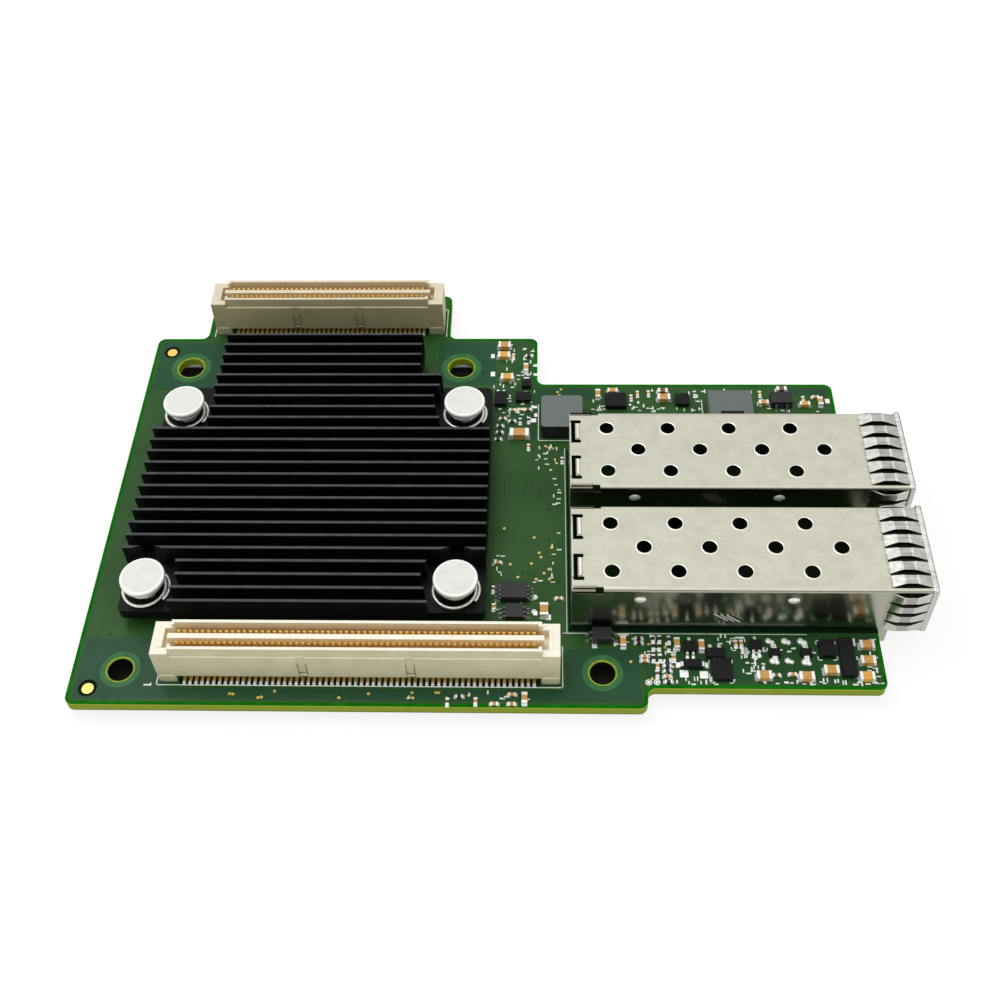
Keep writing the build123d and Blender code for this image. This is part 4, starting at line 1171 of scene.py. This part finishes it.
def ferrite_window():
    """The dark opening in the front of the ferrite part, and a dark plate on its front face below it."""
    bm = bmesh.new()
    for low, high in solids("ferrite_inductor"):
        x, y, top = (low.x + high.x) / 2, low.y, high.z
        add_box(bm, (x - 1.7, y + 0.1, top - 0.05), (x + 1.9, y + 1.3, top + 0.006), 0, 0.03)
        add_box(bm, (x - 2.6, y - 0.03, BOARD_TOP), (x + 2.6, y + 0.1, top - 0.4), 0, 0.03)
    return make_piece("ferrite_window", bm, ["package_dark"])


ceramic = ["tan", "amber", "tan"]
two_terminal_parts("capacitors_large", "large_capacitors", ceramic, 0.2)
lamps = [(60.6, 52.25, "lamp")]
two_terminal_parts(
    "capacitors_small", "small_capacitors", ["tan", "brown"], 0.26, lamps
)
two_terminal_parts("resistors_small", "chip_resistors", ["resistor"], 0.24)
packages("regulators_moulded", "regulator_chips", "package_dark", "tin", "solder")
packages("memories_moulded", "memory_chips", "package", "lead", "lead")
packages("transistors_moulded", "small_transistors", "package_dark", "tin", "solder")
eased_copy("moulded_inductor", "iron", 0.12)
eased_copy("ferrite_inductor", "ferrite", 0.15)
ferrite_window()

# floor, light and camera


def floor():
    """A pale floor that glows like a light table, with a painted shadow under the card: there its glow stops
    and it is dark.
    """
    bm = bmesh.new()
    size = 6.0
    bm.faces.new([bm.verts.new((x, y, 0.0)) for x, y in rectangle(-size, -size, size, size)])
    mesh = bpy.data.meshes.new("floor")
    bm.to_mesh(mesh)
    bm.free()
    n = Nodes("pale_floor")
    boxes = (
        (2.2, 2.2, 75.9, 55.5), (2.2, 50.0, 61.0, 65.8), (10.4, 60.0, 46.4, 75.9), (70.0, 5.2, 107.8, 55.5),
    )
    # painted shadow: no glow and a dark colour where the card lies
    painted_shadow_under_card = n.patches(boxes, 1.2)
    n.link(n.span(painted_shadow_under_card, 0.0, 1.0, 0.84, 0.0), n.shader["Emission Strength"])
    pale = n.tones(n.noise(0.02), (0.17, 0.17, 0.17), (0.19, 0.19, 0.19))
    colour = n.mix(painted_shadow_under_card, pale, (0.030, 0.026, 0.020))
    white = (1.0, 1.0, 1.0, 1.0)
    mesh.materials.append(n.finish(colour, n.wander(0.3, 0.85, 0.95), shine=0.0, Emission_Color=white))
    plane = linked("floor", mesh)


def light():
    """One softbox above, and a soft world that is darker halfway down to the horizon."""
    softbox = bpy.data.lights.new("key_softbox", "AREA")
    softbox.shape = "RECTANGLE"
    softbox.size = softbox.size_y = 0.30
    softbox.energy = 0.9
    lamp = linked("key_softbox", softbox)
    lamp.location = (-0.16, 0.10, 0.55)
    lamp.rotation_euler = (-lamp.location).to_track_quat("-Z", "Y").to_euler()
    world = bpy.data.worlds.new("studio")
    world.use_nodes = True
    tree = world.node_tree
    background = tree.nodes["Background"]
    coords = tree.nodes.new("ShaderNodeTexCoord")
    split = tree.nodes.new("ShaderNodeSeparateXYZ")
    ramp = tree.nodes.new("ShaderNodeValToRGB")
    tree.links.new(coords.outputs["Generated"], split.inputs[0])
    tree.links.new(split.outputs[2], ramp.inputs["Fac"])
    stops = ramp.color_ramp.elements
    levels = ((0.0, 1.05), (0.12, 0.95), (0.30, 0.22), (0.38, 0.28), (0.58, 0.90), (1.0, 1.15))
    while len(stops) < len(levels):
        stops.new(0.5)
    for stop, (height, level) in zip(stops, levels):
        stop.position, stop.color = height, (level, level, level * 0.99, 1)
    tree.links.new(ramp.outputs["Color"], background.inputs["Color"])
    background.inputs["Strength"].default_value = 0.93
    bpy.context.scene.world = world


def camera():
    """The photograph's camera, solved from points of the card."""
    data = bpy.data.cameras.new("camera")
    data.sensor_width = 36.0
    data.sensor_fit = "HORIZONTAL"
    data.lens = 1338.92 / 1000 * 36.0
    data.shift_y = -0.1
    data.clip_start = 0.01
    data.clip_end = 50.0
    turn = Matrix(
        (
            (0.999476, -0.000693, 0.032375),
            (0.022011, 0.747836, -0.663519),
            (-0.023751, 0.663884, 0.747459),
        )
    )
    cam = linked("camera", data)
    cam.matrix_world = Matrix.Translation((0.00593, -0.126163, 0.162889)) @ turn.to_4x4()
    bpy.context.scene.camera = cam


floor()
light()
camera()
bpy.context.scene.view_settings.view_transform = "Standard"
bpy.context.scene.view_settings.look = "None"
